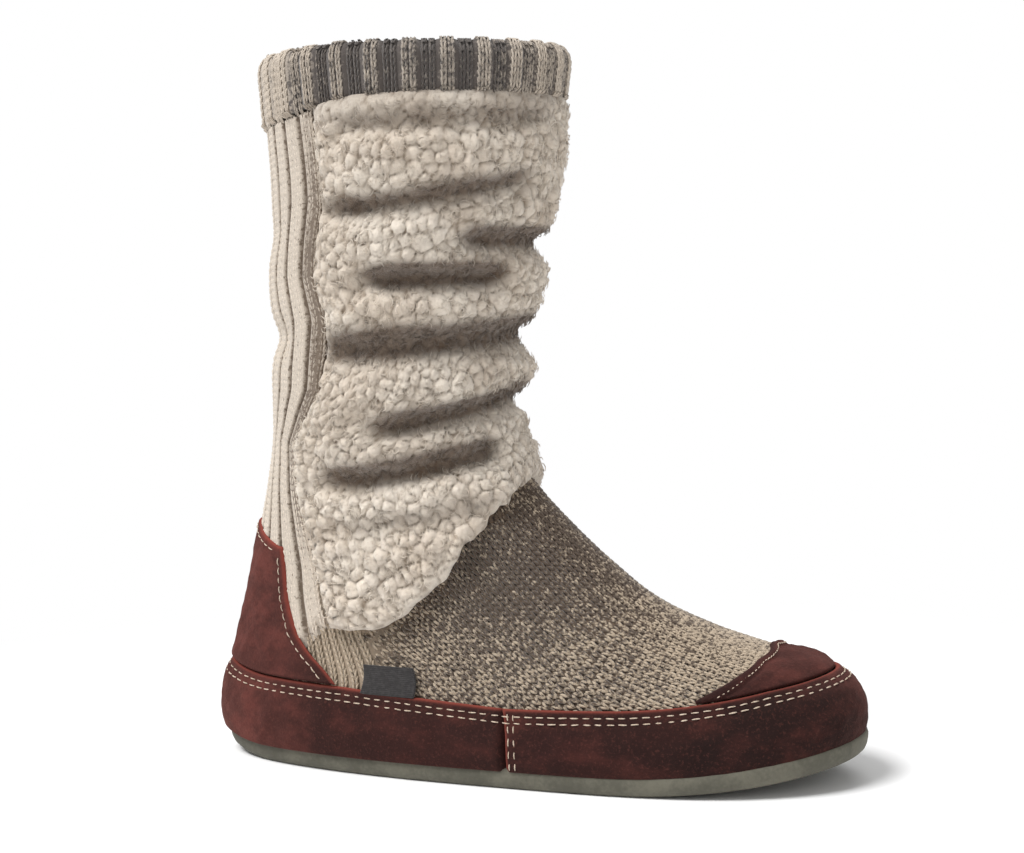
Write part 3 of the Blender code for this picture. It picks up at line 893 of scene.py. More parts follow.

# %% [markdown]
# ## The cloth behind the stitches, and the lining
# The CAD upper stays as the cloth that shows between stitches, so it takes a
# dark, soft yarn colour: painted shade for the gaps, with the marl's dark strand.
# Inside, the boot is lined with short cream pile.

# %% Upper, lining and insole


def cloth_finish():
    """Dark marl, painted shade for the gaps between stitches; it pales toward the heel, as the
    stitches over it do.
    """
    f = Finish("gap_shade_cloth", Roughness=1.0)
    strands = f.ramp(f.noise(0.0012, 3.0), 0.4, 0.62)
    # painted shade: kept dark so the gaps between the stitches read as shade
    marl = f.mix(strands, shade(98, 82, 68), shade(44, 35, 28))
    toward_heel = f.ramp(f.distance((0.0, 0.0, 0.03)), 0.075, 0.045)
    f.feed(Base_Color=f.mix(toward_heel * 0.8, marl, shade(170, 153, 133)))
    f.bump(f.noise(0.0011, 3.0), 0.0006)
    return f.material


def lining_finish():
    f = Finish("lining_pile", Roughness=1.0, Sheen_Weight=0.4, Sheen_Roughness=0.5)
    clump = f.node("ShaderNodeTexVoronoi", {"feature": "SMOOTH_F1"},
                   {"Vector": f.place, "Scale": 1.0 / 0.0042})
    hair = f.noise(0.0008, 4.0, 0.7)
    shaded = f.ramp(clump, 0.25, 0.8) * 0.6 + f.ramp(hair, 0.45, 0.8) * 0.35
    f.feed(Base_Color=f.mix(shaded, shade(228, 217, 198), shade(170, 152, 128)))
    f.bump(hair * 0.35 - clump, 0.0014, 0.9)
    return f.material


def make_lining():
    columns = np.arange(0, COLUMNS, 0.25)
    levels = np.concatenate([np.arange(0.35, 11, 0.25), np.arange(11, 16.81, 0.15)])
    points, _ = raised(columns[None, :], levels[:, None], -(CLOTH + 0.0012))
    faces = quads(len(levels), len(columns), closed=True)[:, ::-1]
    make_piece("lining", points, faces, lining_pile)


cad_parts["upper"].data.materials[0] = cloth_finish()
lining_pile = lining_finish()
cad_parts["insole"].data.materials[0] = lining_pile
make_lining()

# %% [markdown]
# ## The pile of the shaft
# The shaft's face is curly fleece: soft rounded clumps some five millimetres
# wide, over rolls and troughs. The ground is one fine grid that carries the
# folds, a dome for every clump and smaller domes over them. Curls laid on it
# break up its outline as real pile does. Painted shade is kept on the points,
# from the lumps and the folds: browner between the lumps, in the folds and
# under the cuff.

# %% Where the pile is and how high
CUFF_HEM = ((0, 16.08), (45, 16.20), (80, 16.38), (110, 16.42), (180, 16.42))
SEAM = 0.06
PILE_STAND = 2.3 * GAP
PILE_EDGE = COLUMNS - EDGE_COLUMN - SEAM
# painted shade on the pile where the cuff overhangs it
TUCK_SHADE = 0.45  # how brown the pile is where the cuff shades it


def pile_grid(columns, shares):
    """Columns and levels of a grid from the pile's ragged hem to the cuff."""
    ragged = 0.04 * np.sin(columns * 2.9) + 0.02 * np.sin(columns * 7.1 + 1.0)
    low, top = edge_level(HEM, columns) + ragged, edge_level(CUFF_HEM, columns)
    column = np.broadcast_to(columns, (len(shares), len(columns)))
    return column, low + (top - low) * shares[:, None]


def round_off(gap, reach, low):
    """A quarter circle from low at an edge to 1 at reach from it; also its share."""
    share = np.clip(gap / reach, 0, 1)
    return low + (1 - low) * np.sqrt(1 - (1 - share) ** 2), share


def pile_height(column, level):
    """Height of the pile over the skin, and its painted shade in the folds and under the cuff."""
    degrees = column_angle(column, level)
    up = face(degrees, level)[..., 2]
    side, _ = round_off(np.minimum(column - EDGE_COLUMN - SEAM, PILE_EDGE - column), 0.9, 0.25)
    hem, _ = round_off(level - edge_level(HEM, column), 0.62, 0.30)
    seam, under_cuff = round_off(edge_level(CUFF_HEM, column) - level, 0.75, 0.30)
    # the pile is thinner high up in front
    thinner = 0.0016 * np.clip((degrees - 100) / 50, 0, 1) * np.clip((level - 12.5) / 2, 0, 1)
    left = np.maximum(0.25, 1 - (1 - SKIN_SHARE) * crease_depth(degrees, up) / FLEECE)
    height = PILE_STAND + (FLEECE - thinner) * left * (side * hem * seam)
    # painted shade in the folds: their depth read 2 mm lower down, so the dark falls on the
    # underside of the roll above; painted shade under the cuff is added to it
    shaded = crease_depth(degrees, up - 0.0020) / FLEECE
    return height, shaded + TUCK_SHADE * (1 - under_cuff) ** 2


height, _ = pile_height(np.array([9.0]), np.array([13.0]))
print("pile's height on the outer side, mm:", round(1000 * float(height[0]), 1))

# %% Lumps of pile


def domes(points, spots, jitter, seed):
    """Height of rounded lumps, one at every jittered spot: 0 where two of them meet."""
    chance = np.random.default_rng(seed)
    spots = spots + chance.normal(0, jitter, spots.shape)
    size = chance.uniform(0.65, 1.2, len(spots))
    tree = tree_of(spots)
    found = [tree.find_n(place, 2) for place in points.reshape(-1, 3)]
    first, second = (np.array([f[k][2] for f in found]).reshape(points.shape[:2]) for k in (0, 1))
    nearest = np.array([f[0][1] for f in found]).reshape(points.shape[:2])
    return np.sqrt(np.clip(1 - (2 * first / (first + second + 1e-9)) ** 2, 0, 1)) * size[nearest]


def clear_of_upper(points, outs, reach=0.006, least=0.001):
    """Points moved outward where the CAD upper would show through the pile."""
    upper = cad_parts["upper"]
    tree = BVHTree.FromPolygons([upper.matrix_world @ v.co for v in upper.data.vertices],
                                [tuple(p.vertices) for p in upper.data.polygons])
    moved, count = points.copy(), 0
    for place in np.ndindex(points.shape[:2]):
        start = Vector(points[place] + outs[place] * reach)
        distance = tree.ray_cast(start, Vector(-outs[place]), reach + least)[3]
        if distance is not None:
            moved[place] += outs[place] * (reach + least - distance)
            count += 1
    print("points lifted off the upper:", count)
    return moved


flat_patch = domes(patch[0], found[0], 0.0, 1)
print("lumps of a patch stand from", round(float(flat_patch.min()), 2), "to",
      round(float(flat_patch.max()), 2))

# %% Pile finish


def fleece():
    """Cream pile with painted shade: browner between its lumps, in the folds and under the cuff."""
    f = Finish("curly_fleece", Roughness=1.0, Sheen_Weight=0.4, Sheen_Roughness=0.45)
    slow = f.noise(0.03, 2.0)
    hair = f.noise(0.0010, 4.0, 0.75)
    sunk = f.ramp(f.mark("sunk") + (slow - 0.5) * 0.3, 0.10, 0.80)
    colour = f.mix(f.ramp(slow, 0.35, 0.7), shade(248, 236, 220), shade(230, 215, 197))
    uneven = (f.noise(0.007, 2.0) - 0.5) * 0.9
    # painted shade between the lumps
    hollow = f.ramp(f.mark("hollow") + uneven, 0.40, 1.15)
    colour = f.mix(hollow * 0.85, colour, shade(146, 125, 102))
    # painted shade in the folds and under the cuff
    colour = f.mix(sunk * 0.88, colour, shade(88, 66, 47))
    colour = f.mix(f.ramp(hair, 0.5, 0.75) * 0.35, colour, shade(190, 172, 150))
    f.feed(Base_Color=colour)
    f.bump(hair, 0.0012, 0.9)
    return f.material


fleece_finish = fleece()
print("pile finish's nodes:", len(fleece_finish.node_tree.nodes))

# %% Pile ground
PILE_GRID = (220, 330)
#  along   around  jitter  seed
LUMPS = (
    (0.0062, 0.0050, 0.0013, 7),
    (0.0027, 0.0025, 0.0006, 8),
)
LARGE_LUMP, SMALL_LUMP, LUMP_FOOT, UNEVEN = 0.0030, 0.0009, 0.0040, 0.0008
LEAST_PILE = 0.0026  # pile that is left over the skin in the deepest fold


def turn_down(grid):
    """The grid with one more row below it and one more column at each side."""
    return np.pad(grid, ((1, 0), (1, 1)), mode="edge")


def make_fleece():
    shares = np.linspace(0, 1, PILE_GRID[0])
    column, level = pile_grid(np.linspace(EDGE_COLUMN + SEAM, PILE_EDGE, PILE_GRID[1]), shares)
    # the second value is the pile's painted shade; it also flattens the lumps in the folds
    height, depth = pile_height(column, level)
    points, outs = raised(column, level, height)
    bend = 0.35 * waves(points, 0.03, 11)
    along, around = running(points) + 0.004 * bend, running(points, 1) + 0.006 * bend
    large, small = (domes(points, lay_out(points, outs, along, around, up, aside)[0], jitter, seed)
                    for up, aside, jitter, seed in LUMPS)
    to_side = np.minimum(column - column.min(), column.max() - column) / 0.2
    to_hem = np.minimum(shares, 1 - shares)[:, None] / 0.03
    rim = np.clip(np.minimum(to_side, to_hem), 0.6, 1)
    lump = LARGE_LUMP * large + SMALL_LUMP * small - LUMP_FOOT
    lump = (lump + UNEVEN * waves(points, 0.012, 21)) * rim
    lump = np.maximum(lump * (1 - 0.5 * np.clip(depth, 0, 1)), LEAST_PILE - height)
    finished = clear_of_upper(points + outs * lump[..., None], outs)
    # painted shade: between the lumps, and in the folds and under the cuff
    marks = {"hollow": np.clip(1.1 - 0.85 * large - 0.3 * small, 0, 1), "sunk": depth}
    # the rim turns down to the skin, so no dark gap shows under it
    turned, _ = raised(turn_down(column), turn_down(level), KNIT_OFF)
    turned[1:, 1:-1] = finished
    marks = {name: turn_down(values) for name, values in marks.items()}
    faces = quads(*turned.shape[:2])
    make_piece("fleece_ground", turned, faces, fleece_finish, marks, ["shaft_fleece"])
    return finished, outs, depth, large


fleece_points, fleece_outs, fleece_shade, fleece_dome = make_fleece()

# %% Curls over the pile
CURLS, CURL_SIZE = 10500, (0.0037, 0.0009, 0.00040)


def make_curls():
    chance = np.random.default_rng(17)
    rows, columns = fleece_shade.shape
    r = chance.integers(2, int(0.985 * rows), CURLS)
    c = chance.integers(2, columns - 2, CURLS)
    spots, outs = fleece_points[r, c], fleece_outs[r, c]
    spots = spots + chance.normal(0, 0.0003, spots.shape)
    side = unit(np.cross(outs, chance.normal(size=spots.shape)))
    lean = chance.uniform(-0.2, 0.3, (CURLS, 1))
    # painted shade on the curls: darker low on a lump, and in the folds
    marks = {"hollow": 0.6 - 0.5 * fleece_dome[r, c], "sunk": fleece_shade[r, c]}
    lay("fleece_curls", curl_shape, (spots, side, unit(outs + side * lean)), fleece_finish,
        CURL_SIZE, 0.9, 5, marks)


make_curls()

# %% [markdown]
# ## The ribbed strip up the back
# A strip of pale ribbing runs up the back from the heel counter to the cuff. It
# is knitted in ribs of two columns with a sunk column between them, so its
# ground has the ribs' relief and the stitches are laid on the raised columns.

# %% Rib strip's relief and shade
RIB_STRIP, STRIP_WALES = 0.0016, 36
STRIP_END = ((0, 4.3), (36, 4.4), (46, 4.9), (53, 5.6), (60, 6.3))
STRIP_SIDE = EDGE_COLUMN - SEAM
STRIP_KNIT = (0.0027, 0.0027, 0.00115)  # length, width and thickness of a stitch
STRIP_RELIEF = 0.0023


def strip_rib(column):
    """1 on a rib, 0 in the sunk column between two ribs."""
    place = np.mod((column + EDGE_COLUMN) / (2 * EDGE_COLUMN) * STRIP_WALES / 3.0, 1.0)
    return np.clip(1.2 - np.exp(-(((place - 0.5 / 3) / 0.11) ** 2)) * 1.2, 0, 1)


def strip_shade(column, level):
    """Painted shade in the sunk columns, and darker yarn along the pile."""
    beside_pile = np.clip((np.abs(column) - 5.25) / 0.3, 0, 1)
    edge = beside_pile * np.interp(level, [8, 10.5, 14, 16], [0.0, 1, 1, 0.4])
    # painted shade in the sunk columns between the ribs
    return 1.5 * edge + 1.9 * (1 - strip_rib(column))


def strip_reach(column):
    """The levels where a column of the strip begins and ends."""
    return edge_level(STRIP_END, column), edge_level(CUFF_HEM, column) - SEAM


print("strip's levels up its middle:", [float(level) for level in strip_reach(0.0)])

# %% Rib strip


def make_strip_ground(finish):
    columns = np.arange(-STRIP_SIDE, STRIP_SIDE + 0.01, 2 * STRIP_SIDE / 252)
    shares = np.linspace(0, 1, 110)
    foot, top = strip_reach(columns)
    level = foot + (top - foot) * shares[:, None]
    # thin along its sides and at its foot
    side = np.clip((STRIP_SIDE - np.abs(columns)) / 0.1, 0.3, 1)
    thin = side * np.clip(shares / 0.05, 0.1, 1)[:, None]
    height = GAP + (0.15 + 0.85 * strip_rib(columns)) * STRIP_RELIEF * thin
    points, _ = raised(columns[None, :], level, height)
    # painted shade: the ground is 0.9 darker than the stitches, so the gaps between them read dark
    marks = {"tone": 0.9 + strip_shade(columns[None, :], level), "chance": 0 * level + 0.5}
    make_piece("strip_ground", points, quads(*level.shape), finish, marks, ["back_rib"])


def make_strip_stitches(finish):
    lines, tones = [], []
    for wale in range(STRIP_WALES):
        column = -EDGE_COLUMN + (wale + 0.5) * 2 * EDGE_COLUMN / STRIP_WALES
        if wale % 3 == 0 or abs(column) > STRIP_SIDE - 0.1:
            continue
        low, top = (float(level) for level in strip_reach(column))
        low += 0.1
        lines.append(raised(np.full(160, column), np.linspace(low, top, 160), GAP + 0.0019))
        tones.append((column, low, top))
    *places, share, number = march_all(lines, STRIP_KNIT[0])
    column, low, top = np.array(tones)[number].T
    marks = {"tone": strip_shade(column, low + share * (top - low))}
    lay("strip_stitches", knit_shape, places, finish, STRIP_KNIT, 0.1, 6, marks)


strip_yarn = yarn("strip_yarn", shade(222, 209, 193), shade(112, 96, 80), -0.65, 0.3)
make_strip_ground(strip_yarn)
make_strip_stitches(strip_yarn)

# %% [markdown]
# ## The cuff
# The collar ends in a turned cuff of two-by-two ribbing: a tube of knitting
# folded over the rim. Its ribs stand proud and pale, and the purl columns
# between them carry painted shade. A closed profile swept round the rim gives
# the fold, and the ribs are part of the shape, so they also show where it
# turns over.

# %% Cuff's profile
CUFF_RIBS, CUFF_LEAF, CUFF_EASE = 26, 0.0030, 1.8 * GAP
CUFF_KNIT, CUFF_SINK = (0.0028, 0.0025, 0.00105), 0.0011
#    off the skin, share of the leaf's height, rise above the rim, depth of ribs
CUFF_PROFILE = np.array((
    (0.00, 0.00, 0.0000, 0.0), (0.75, -0.02, 0.0000, 0.4), (1.02, 0.05, 0.0000, 1.0),
    (1.08, 0.25, 0.0000, 1.0), (1.06, 0.55, 0.0000, 1.0), (1.08, 0.85, 0.0000, 1.0),
    (1.04, 1.00, 0.0012, 1.0), (0.80, 1.00, 0.0038, 1.0), (0.30, 1.00, 0.0056, 1.0),
    (-0.35, 1.0, 0.0060, 1.0), (-1.00, 1.0, 0.0054, 1.0), (-1.55, 1.0, 0.0036, 1.0),
    (-1.80, 1.0, 0.0008, 1.0), (-1.85, 0.8, 0.0000, 0.8), (-1.85, 0.45, 0.000, 0.6),
    (-1.75, 0.15, 0.000, 0.4),
))


def cuff_rib(column):
    """1 on the crown of a rib, 0 in the purl column."""
    place = np.mod(column / COLUMNS * CUFF_RIBS, 1.0)
    return np.clip(0.62 + 1.15 * np.sin(2 * np.pi * (place - 0.12)), 0, 1)


def cuff_line(column, steps=64):
    """Points of the cuff's profile at each column, bottom of the outer leaf first."""
    count = len(CUFF_PROFILE)
    where = np.linspace(0, count - 1, steps)
    read = (np.interp(where, np.arange(count), CUFF_PROFILE[:, k])[:, None] for k in range(4))
    off, share, rise, rib = read
    low = edge_level(CUFF_HEM, column)
    level = low + (RIM_LEVEL - low) * np.clip(share, 0, 1)
    outside = CUFF_EASE + CUFF_LEAF * np.maximum(off, 0)
    inside = (CLOTH + CUFF_LEAF) * np.minimum(off, 0) / 1.85
    # purl columns sink into both leaves, and lower the fold's crown
    pull = CUFF_SINK * rib * (1 - cuff_rib(column))
    depth = outside + inside - np.where(off > 0.2, pull, -pull * 0.6 * (off < -0.9))
    points, _ = raised(np.broadcast_to(column, level.shape), level, depth)
    points[..., 2] += rise
    points[..., 2] -= 0.55 * pull * (rise > 0.003)
    return points


def cuff_shade(column, sunk):
    """Pale at the back, darkest on the outer side, with painted shade between the ribs."""
    degrees = near_degrees(360 * column / COLUMNS)
    dark = np.clip((degrees - 42) / 30, 0, 1) * (1 - 0.55 * np.clip((degrees - 120) / 30, 0, 1))
    # painted shade between the ribs, by how far into the purl column a place lies
    return 1.3 * dark + sunk * 1.3 * (0.3 + 0.7 * dark)


print("cuff's top, mm:", round(1000 * float(cuff_line(np.array([9.0]))[..., 2].max()), 1))

# %% Cuff


def make_cuff_ground(finish):
    columns = np.arange(0, COLUMNS, COLUMNS / (CUFF_RIBS * 14))
    points = cuff_line(columns)
    dark = np.broadcast_to(cuff_shade(columns, 1 - cuff_rib(columns)), points.shape[:2])
    # painted shade: the ground is 0.9 darker, so the gaps between the stitches read dark
    marks = {"tone": dark + 0.9, "chance": 0 * dark + 0.5}
    faces = quads(len(points), len(columns), closed=True)
    make_piece("cuff_ground", points, faces, finish, marks, ["cuff"])


def make_cuff_stitches(name, shares, extra, seed, finish):
    """Two columns of stitches on every rib, or between the ribs."""
    lines, columns = [], []
    for rib in range(CUFF_RIBS):
        for share in shares:
            column = (rib + share) * COLUMNS / CUFF_RIBS
            line = cuff_line(np.array([column - 0.05, column, column + 0.05]), 120)
            ahead = unit(np.gradient(line[:, 1], axis=0))
            out = unit(np.cross(line[:, 2] - line[:, 0], ahead))
            lines.append((line[4:, 1] + out[4:] * 0.0003, out[4:]))
            columns.append(column)
    *places, _, number = march_all(lines, CUFF_KNIT[0])
    tone = cuff_shade(np.array(columns)[number], extra)
    lay(name, knit_shape, places, finish, CUFF_KNIT, 0.12, seed, {"tone": tone})


cuff_yarn = yarn("cuff_yarn", shade(216, 202, 185), shade(84, 76, 71), -0.6)
make_cuff_ground(cuff_yarn)
make_cuff_stitches("cuff_knit_stitches", (0.27, 0.47), 0.0, 8, cuff_yarn)
# the purl stitches get 0.9 more painted shade, down between the ribs
make_cuff_stitches("cuff_purl_stitches", (0.77, 0.97), 0.9, 9, cuff_yarn)

# %% [markdown]
# ## Suede pieces
# The rand, toe cap and heel counter are suede. The rand is padded: it swells out
# over the sole and draws in to its stitched top edge. Each piece is a closed
# shell on the skin, with rounded edges. Its face sinks a little along the rows
# of stitches, as leather does where thread pulls it down.

# %% Suede finish


def suede():
    """Dark red nap: brushed patches, raw or folded edges, and brushed-up nap with painted light."""
    f = Finish("suede", Roughness=0.95, Sheen_Weight=0.18, Sheen_Roughness=0.5,
               Specular_IOR_Level=0.25)
    f.shader.inputs["Sheen Tint"].default_value = (*shade(190, 110, 95), 1.0)
    nap = f.noise(0.0011, 4.0, 0.65)
    brushed = f.noise(0.014, 4.0, 0.6, (1.0, 1.0, 1.6))
    edge = f.mark("worn")
    colour = f.mix(f.ramp(f.noise(0.05, 2.0), 0.35, 0.68), shade(27, 14, 12), shade(44, 21, 18))
    # painted light at the heel and on higher parts, with the nap brushed up there
    lifted = f.mark("lifted") * (0.26 + 0.2 * f.ramp(brushed, 0.38, 0.66))
    for share, tint in (
            (f.ramp(brushed, 0.42, 0.78) * 0.5, shade(86, 43, 37)),
            (f.ramp(f.noise(0.02, 3.0), 0.52, 0.75) * 0.6, shade(34, 15, 14)),
            (lifted, shade(116, 62, 55)),
            (f.ramp(nap, 0.50, 0.76) * 0.4, shade(102, 58, 50)),
            (f.ramp(1.0 - nap, 0.5, 0.75) * 0.4, shade(42, 18, 18)),
            (edge.most(0.0) * 0.75, shade(148, 70, 58)),
            ((edge * -0.85).most(0.0), shade(30, 15, 15))):
        colour = f.mix(share, colour, tint)
    f.feed(Base_Color=colour)
    f.bump(nap + f.noise(0.0004, 3.0) * 0.5, 0.0005, 0.7)
    return f.material


suede_finish = suede()
print("suede's nodes:", len(suede_finish.node_tree.nodes))

# %% Shells of suede
TOP, FIRST, LAST = 1, 2, 3  # a shell's edges, after its foot
RAW_EDGE, FOLDED_EDGE = (1.0, 0.0009), (-1.0, 0.0021)  # bright or dark, and how wide
EDGE_ROUND, EDGE_LEFT, EDGE_CALM = 0.0011, 0.35, 0.004


def level_step(column, level, distance):
    """The change of level that goes distance metres up the skin."""
    below, _ = raised(column, level - 0.1)
    above, _ = raised(column, level + 0.1)
    return distance * 0.2 / np.maximum(1e-5, np.linalg.norm(above - below, axis=-1))


def nap_and_light(points):
    """Brushed-up nap and painted light make the heel and upper parts paler; the sides stay dark."""
    at_heel = np.clip((0.018 - points[..., 0]) / 0.03, 0, 1)
    high = 0.6 * np.clip((points[..., 2] - 0.036) / 0.01, 0, 1)
    return np.clip(at_heel + high, 0, 1)


def suede_shell(name, column, level, thickness, stand, stands_for, edges, kind=RAW_EDGE):
    """A piece of suede that stands off the skin; kind says how its edges look."""
    inner, _ = raised(column, level, stand)
    outer, outs = raised(column, level, stand + thickness)
    up, along = running(outer), running(outer, 1)
    gaps = [up, up[-1:] - up, along, along[:, -1:] - along]
    near = np.minimum.reduce(gaps)
    swell = 0.00022 * waves(outer, 0.016, 31) + 0.00012 * waves(outer, 0.005, 32)
    rounded, _ = round_off(near, EDGE_ROUND, 0.0)
    full = thickness * (EDGE_LEFT + (1 - EDGE_LEFT) * rounded)
    full = full + swell * np.clip(near / EDGE_CALM, 0, 1)
    outer = inner + outs * np.maximum(full, 0.0004)[..., None]
    bright, width = kind
    worn = bright * np.exp(-(np.minimum.reduce([gaps[k] for k in edges]) / width) ** 2)
    points, faces = shell(inner, outer)
    marks = {label: np.tile(values.ravel(), 2)
             for label, values in (("worn", worn), ("lifted", nap_and_light(outer)))}
    make_piece(name, points, faces, suede_finish, marks, stands_for)


step = level_step(np.array([9.0]), np.array([2.0]), 0.001)
print("levels in 1 mm of the rand:", round(float(step[0]), 3))

# %% Rand
LEATHER, RAND_BULGE, RAND_LOW = 0.0015, 0.0047, 0.24
RAND_PROFILE = ((0.0, 0.70), (0.2, 0.92), (0.5, 1.0), (0.8, 0.80), (1.0, 0.42))
RAND_STAND = 2 * GAP
RAND_ROWS = (0.0030, 0.0055)  # rows of thread, in metres below the top edge
GROOVE_DEEP, GROOVE_WIDE = 0.00045, 0.0009
RAND_SEAM = 9.215  # the column where the front piece begins
RAND_PIECES = (
    ("rand_front", RAND_SEAM, COLUMNS - RAND_SEAM, (TOP, FIRST, LAST)),
    ("rand_back", -9.2, 9.2, (TOP,)),
)


def rand_thickness(column, level):
    """Thickest low down, thin at the top edge, sunk along the rows of thread."""
    top = edge_level(RAND_TOP, column)
    share = np.clip((level - RAND_LOW) / (top - RAND_LOW), 0, 1)
    drop = (top - level) / level_step(column, level, 1.0)
    sunk = sum(GROOVE_DEEP * np.exp(-((drop - row) / GROOVE_WIDE) ** 2) for row in RAND_ROWS)
    return RAND_BULGE * at(RAND_PROFILE, share) - sunk


def make_rand():
    # the grid is finer near the foot and the top edge, where the shell is rounded
    parts = (np.linspace(0, 0.08, 5)[:-1], np.linspace(0.08, 0.9, 30)[:-1], np.linspace(0.9, 1, 8))
    shares = np.concatenate(parts)[:, None]
    for node, first, last, edges in RAND_PIECES:
        columns = np.linspace(first, last, int((last - first) / 0.09))
        level = RAND_LOW + (edge_level(RAND_TOP, columns) - RAND_LOW) * shares
        column = np.broadcast_to(columns, level.shape)
        thick = rand_thickness(column, level)
        suede_shell(node + "_suede", column, level, thick, RAND_STAND, [node], edges)


make_rand()

# %% Toe cap and heel counter
COUNTER_EDGE = ((0.0, 5.8), (0.2, 5.4), (0.45, 4.85), (0.7, 4.6), (1.0, 4.4))
COUNTER_TOP = ((0, 9.00), (12, 8.95), (26, 8.70), (41, 8.45))
CAP_STAND, COUNTER_STAND = 2.4 * GAP, RIB_STRIP + 2.5 * GAP
#    height or depth, distance from the cap's edge, width
CAP_ROLL, CAP_GROOVE = (0.0007, 0.0016, 0.0013), (0.0006, 0.0042, 0.0008)


def ridge(distance, high, middle, width):
    """A smooth ridge along an edge."""
    return high * np.exp(-((distance - middle) / width) ** 2)


def make_cap():
    reach = (180 - CAP_EDGE[0][0]) * COLUMNS / 360
    columns = np.linspace(18 - reach, 18 + reach, 120)
    low, top = edge_level(RAND_TOP, columns) + SEAM, edge_level(CAP_EDGE, columns)
    level = low + (top - low) * np.linspace(0, 1, 44)[:, None]
    column = np.broadcast_to(columns, level.shape)
    gap = (top - level) / level_step(column, level, 1.0)
    # the folded edge makes a roll, and the thread draws a groove behind it
    thick = LEATHER + ridge(gap, *CAP_ROLL) - ridge(gap, *CAP_GROOVE)
    suede_shell("toe_cap_suede", column, level, thick, CAP_STAND, ["toe_cap"], (TOP,),
                FOLDED_EDGE)


def counter_place(across, share):
    """Column and level of a place on the heel counter; across runs -1 to 1."""
    column = across * at(COUNTER_EDGE, share)
    low, top = edge_level(RAND_TOP, column) + SEAM, edge_level(COUNTER_TOP, column)
    return column, low + (top - low) * share


def make_counter():
    across, share = np.linspace(-1, 1, 130)[None, :], np.linspace(0, 1, 70)[:, None]
    column, level = counter_place(across, share)
    suede_shell("counter_suede", column, level, np.full(level.shape, LEATHER), COUNTER_STAND,
                ["heel_counter"], (TOP, FIRST, LAST))


make_cap()
make_counter()

# %% [markdown]
# ## Saddle stitching
# Cream thread runs in two rows along the rand, in one row round the toe cap's
# edge and the counter's edge, and in two short rows down each side seam. Each
# row is a line on the suede's face, walked at the length of one stitch.

# %% Thread and its rows
RAND_PITCH, SEAM_PITCH, COUNTER_PITCH, CAP_PITCH = 0.0047, 0.0044, 0.0038, 0.0022
SEAM_ROWS = (0.10, 0.20)  # columns from the side seam to its two rows
CAP_ROW, CAP_REACH = 0.0030, 5.2  # metres below the cap's edge, columns to each side


def thread_finish():
    f = Finish("waxed_thread", Roughness=0.7)
    twist = f.noise(0.0006, 2.0)
    f.feed(Base_Color=f.mix(f.ramp(twist, 0.4, 0.7), shade(212, 194, 175), shade(172, 150, 128)))
    f.bump(twist, 0.0002, 0.6)
    return f.material


def rand_line(column, level, lift):
    """A line of thread on the rand's face."""
    return raised(column, level, RAND_STAND + rand_thickness(column, level) + lift)


def rand_lines():
    columns = np.linspace(-9.0, 27.0, 1400)
    top = edge_level(RAND_TOP, columns)
    rows = [top - level_step(columns, top - 0.2, row) for row in RAND_ROWS]
    lines = [(*rand_line(columns, level, 0.00015), RAND_PITCH) for level in rows]
    level = np.linspace(0.35, float(at(RAND_TOP, 93)) - 0.15, 80)
    for seam, sign in ((RAND_SEAM, 1), (COLUMNS - RAND_SEAM, -1)):
        for shift in SEAM_ROWS:
            line = rand_line(np.full(80, seam + sign * shift), level, 0.0001)
            lines.append((*line, SEAM_PITCH))
    return lines


def cap_line():
    columns = np.linspace(18 - CAP_REACH, 18 + CAP_REACH, 500)
    top = edge_level(CAP_EDGE, columns)
    level = top - level_step(columns, top - 0.15, CAP_ROW)
    keep = level > edge_level(RAND_TOP, columns) + 0.12
    return (*raised(columns[keep], level[keep], CAP_STAND + LEATHER + 0.0001), CAP_PITCH)


def counter_lines():
    share = np.linspace(0.03, 0.94, 200)
    inside = 1 - 0.30 / at(COUNTER_EDGE, share)
    places = [counter_place(side * inside, share) for side in (-1, 1)]
    places.append(counter_place(np.linspace(-0.86, 0.86, 200), np.full(200, 0.965)))
    lift = COUNTER_STAND + LEATHER + 0.00012
    return [(*raised(column, level, lift), COUNTER_PITCH) for column, level in places]


print("rows of thread:", len(rand_lines()) + len(counter_lines()) + 1)

# %% Lay the thread
#    name, lines, length and thickness of a stitch
THREADS = (
    ("saddle_stitches", rand_lines() + counter_lines(), 0.0030, 0.00054),
    ("cap_stitches", [cap_line()], 0.0017, 0.00050),
)
thread, chance = thread_finish(), np.random.default_rng(41)
for name, lines, long, thick in THREADS:
    found = [march(points, outs, pitch) for points, outs, pitch in lines]
    spots, ways, outs = (np.concatenate([f[k] for f in found]) for k in range(3))
    ways = unit(ways + chance.normal(0, 0.04, ways.shape))
    lay(name, thread_shape, (spots, ways, outs), thread, (long, 0.0, thick), 0.15, 12)

# %% [markdown]
# ## The tag
# A small grey woven tag is caught in the rand's top edge. It carries nothing.

# %% Tag
TAG_COLUMNS, TAG_LEVELS, TAG_LEAN = (6.40, 7.54), (3.3, 4.80), 0.16
TAG_STAND, TAG_CLOTH = 0.0024, 0.0009


def make_tag():
    levels = np.linspace(*TAG_LEVELS, 44)[:, None]
    column = np.linspace(*TAG_COLUMNS, 60) + TAG_LEAN * (levels - TAG_LEVELS[0])
    inner, outs = raised(column, levels, TAG_STAND)
    f = Finish("woven_tag", Roughness=0.9, Sheen_Weight=0.2)
    threads = {"Vector": f.place, "Scale": 420.0, "Distortion": 1.0}
    weave = f.node("ShaderNodeTexWave", {"bands_direction": "Z"}, threads)
    marl = f.ramp(f.noise(0.0016, 3.0), 0.4, 0.65)
    f.feed(Base_Color=f.mix(marl, shade(34, 31, 31), shade(48, 45, 45)))
    f.bump(weave, 0.0003, 0.5)
    points, faces = shell(inner, inner + outs * TAG_CLOTH)
    make_piece("tag_cloth", points, faces, f.material, None, ["tag"])


make_tag()

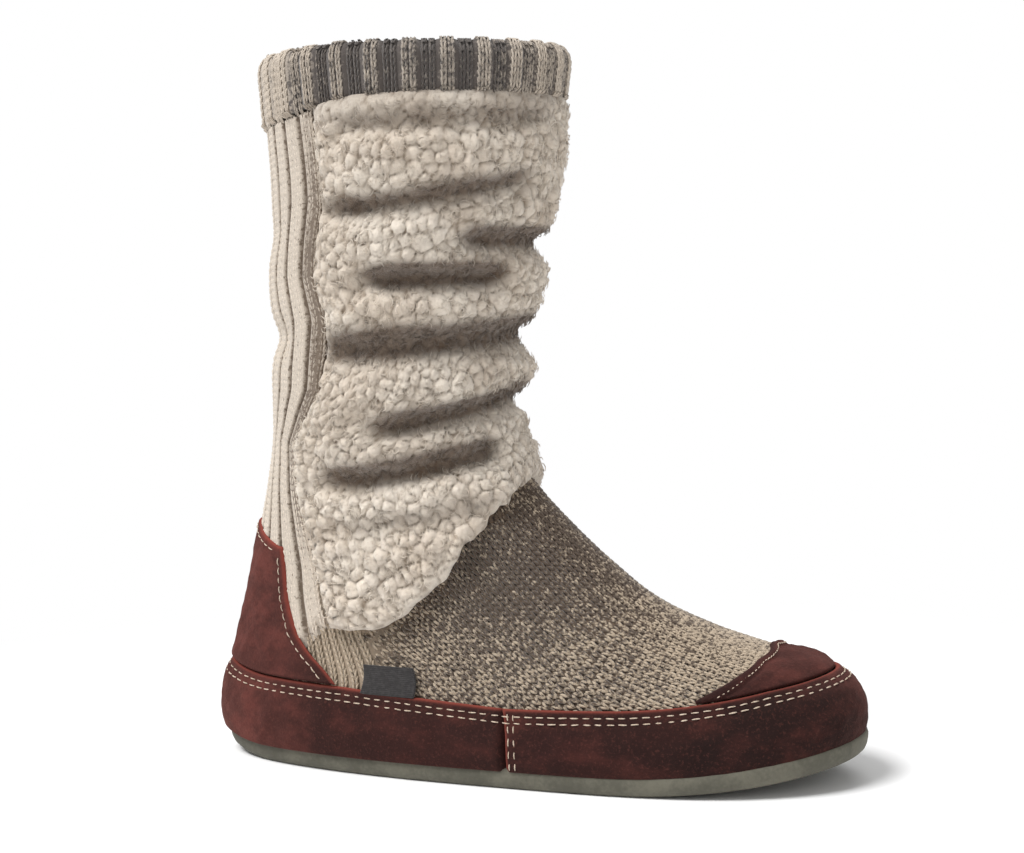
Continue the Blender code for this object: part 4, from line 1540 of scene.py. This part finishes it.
# %% [markdown]
# ## The sole
# A thin moulded rubber sole shows as a grey edge under the rand. Loops of the
# boot's feather edge are stacked from the floor up and closed across, with the
# fine tread left to the bump.

# %% Sole
SOLE_TO_TOE = 0.0035  # how much further the sole stands out at the toe
# inset from the feather edge, and height over it
SOLE_PROFILE = (
    (0.0035, -0.0060), (0.0016, -0.0060), (0.0004, -0.0056), (-0.0006, -0.0046),
    (-0.0013, -0.0030), (-0.0017, -0.0010), (-0.0018, 0.0008), (-0.0014, 0.0020),
    (-0.0002, 0.0026), (0.0030, 0.0026),
)


def feather_loop(columns, inset, height):
    degrees = column_angle(columns, 0.0)
    out = outward(degrees, np.full(len(columns), 0.2))
    out[:, 2] = 0
    edge = face(degrees, 0.0)
    share = 0.5 * (1 - np.cos(np.radians(degrees)))
    points = edge + unit(out) * (SOLE_TO_TOE * share - inset)[:, None]
    points[:, 2] = edge[:, 2] + height
    return points


def sole_finish():
    f = Finish("sole_rubber_finish", Roughness=0.8)
    grain = f.noise(0.0015, 4.0)
    patches = f.ramp(f.noise(0.02, 3.0) + (grain - 0.5) * 0.4, 0.35, 0.7)
    f.feed(Base_Color=f.mix(patches, shade(84, 82, 71), shade(106, 103, 90)))
    ridges = f.node("ShaderNodeTexWave", {"bands_direction": "X", "wave_profile": "SIN"},
                    {"Vector": f.place, "Scale": 52.0, "Distortion": 0.6})
    f.bump(ridges * 0.35 + grain * 0.4, 0.0008, 0.6)
    return f.material


def make_sole():
    columns = np.arange(0, COLUMNS, 0.2)
    loops = [feather_loop(columns, inset, height) for inset, height in SOLE_PROFILE]
    count = len(columns)
    faces = quads(len(loops), count, closed=True).tolist()
    last = (len(loops) - 1) * count
    # quads from one side to the other close the lowest and the highest loop
    for k in range(count // 2):
        a, b, c, d = k, k + 1, (count - k - 1) % count, (count - k) % count
        quad = [a, b, c] if k == 0 else [a, b, d] if b == c else [a, b, c, d]
        faces.append(quad[::-1])
        faces.append([last + i for i in quad])
    points = np.concatenate(loops)
    make_piece("sole", points, faces, sole_finish(), None, ["outsole"])


make_sole()
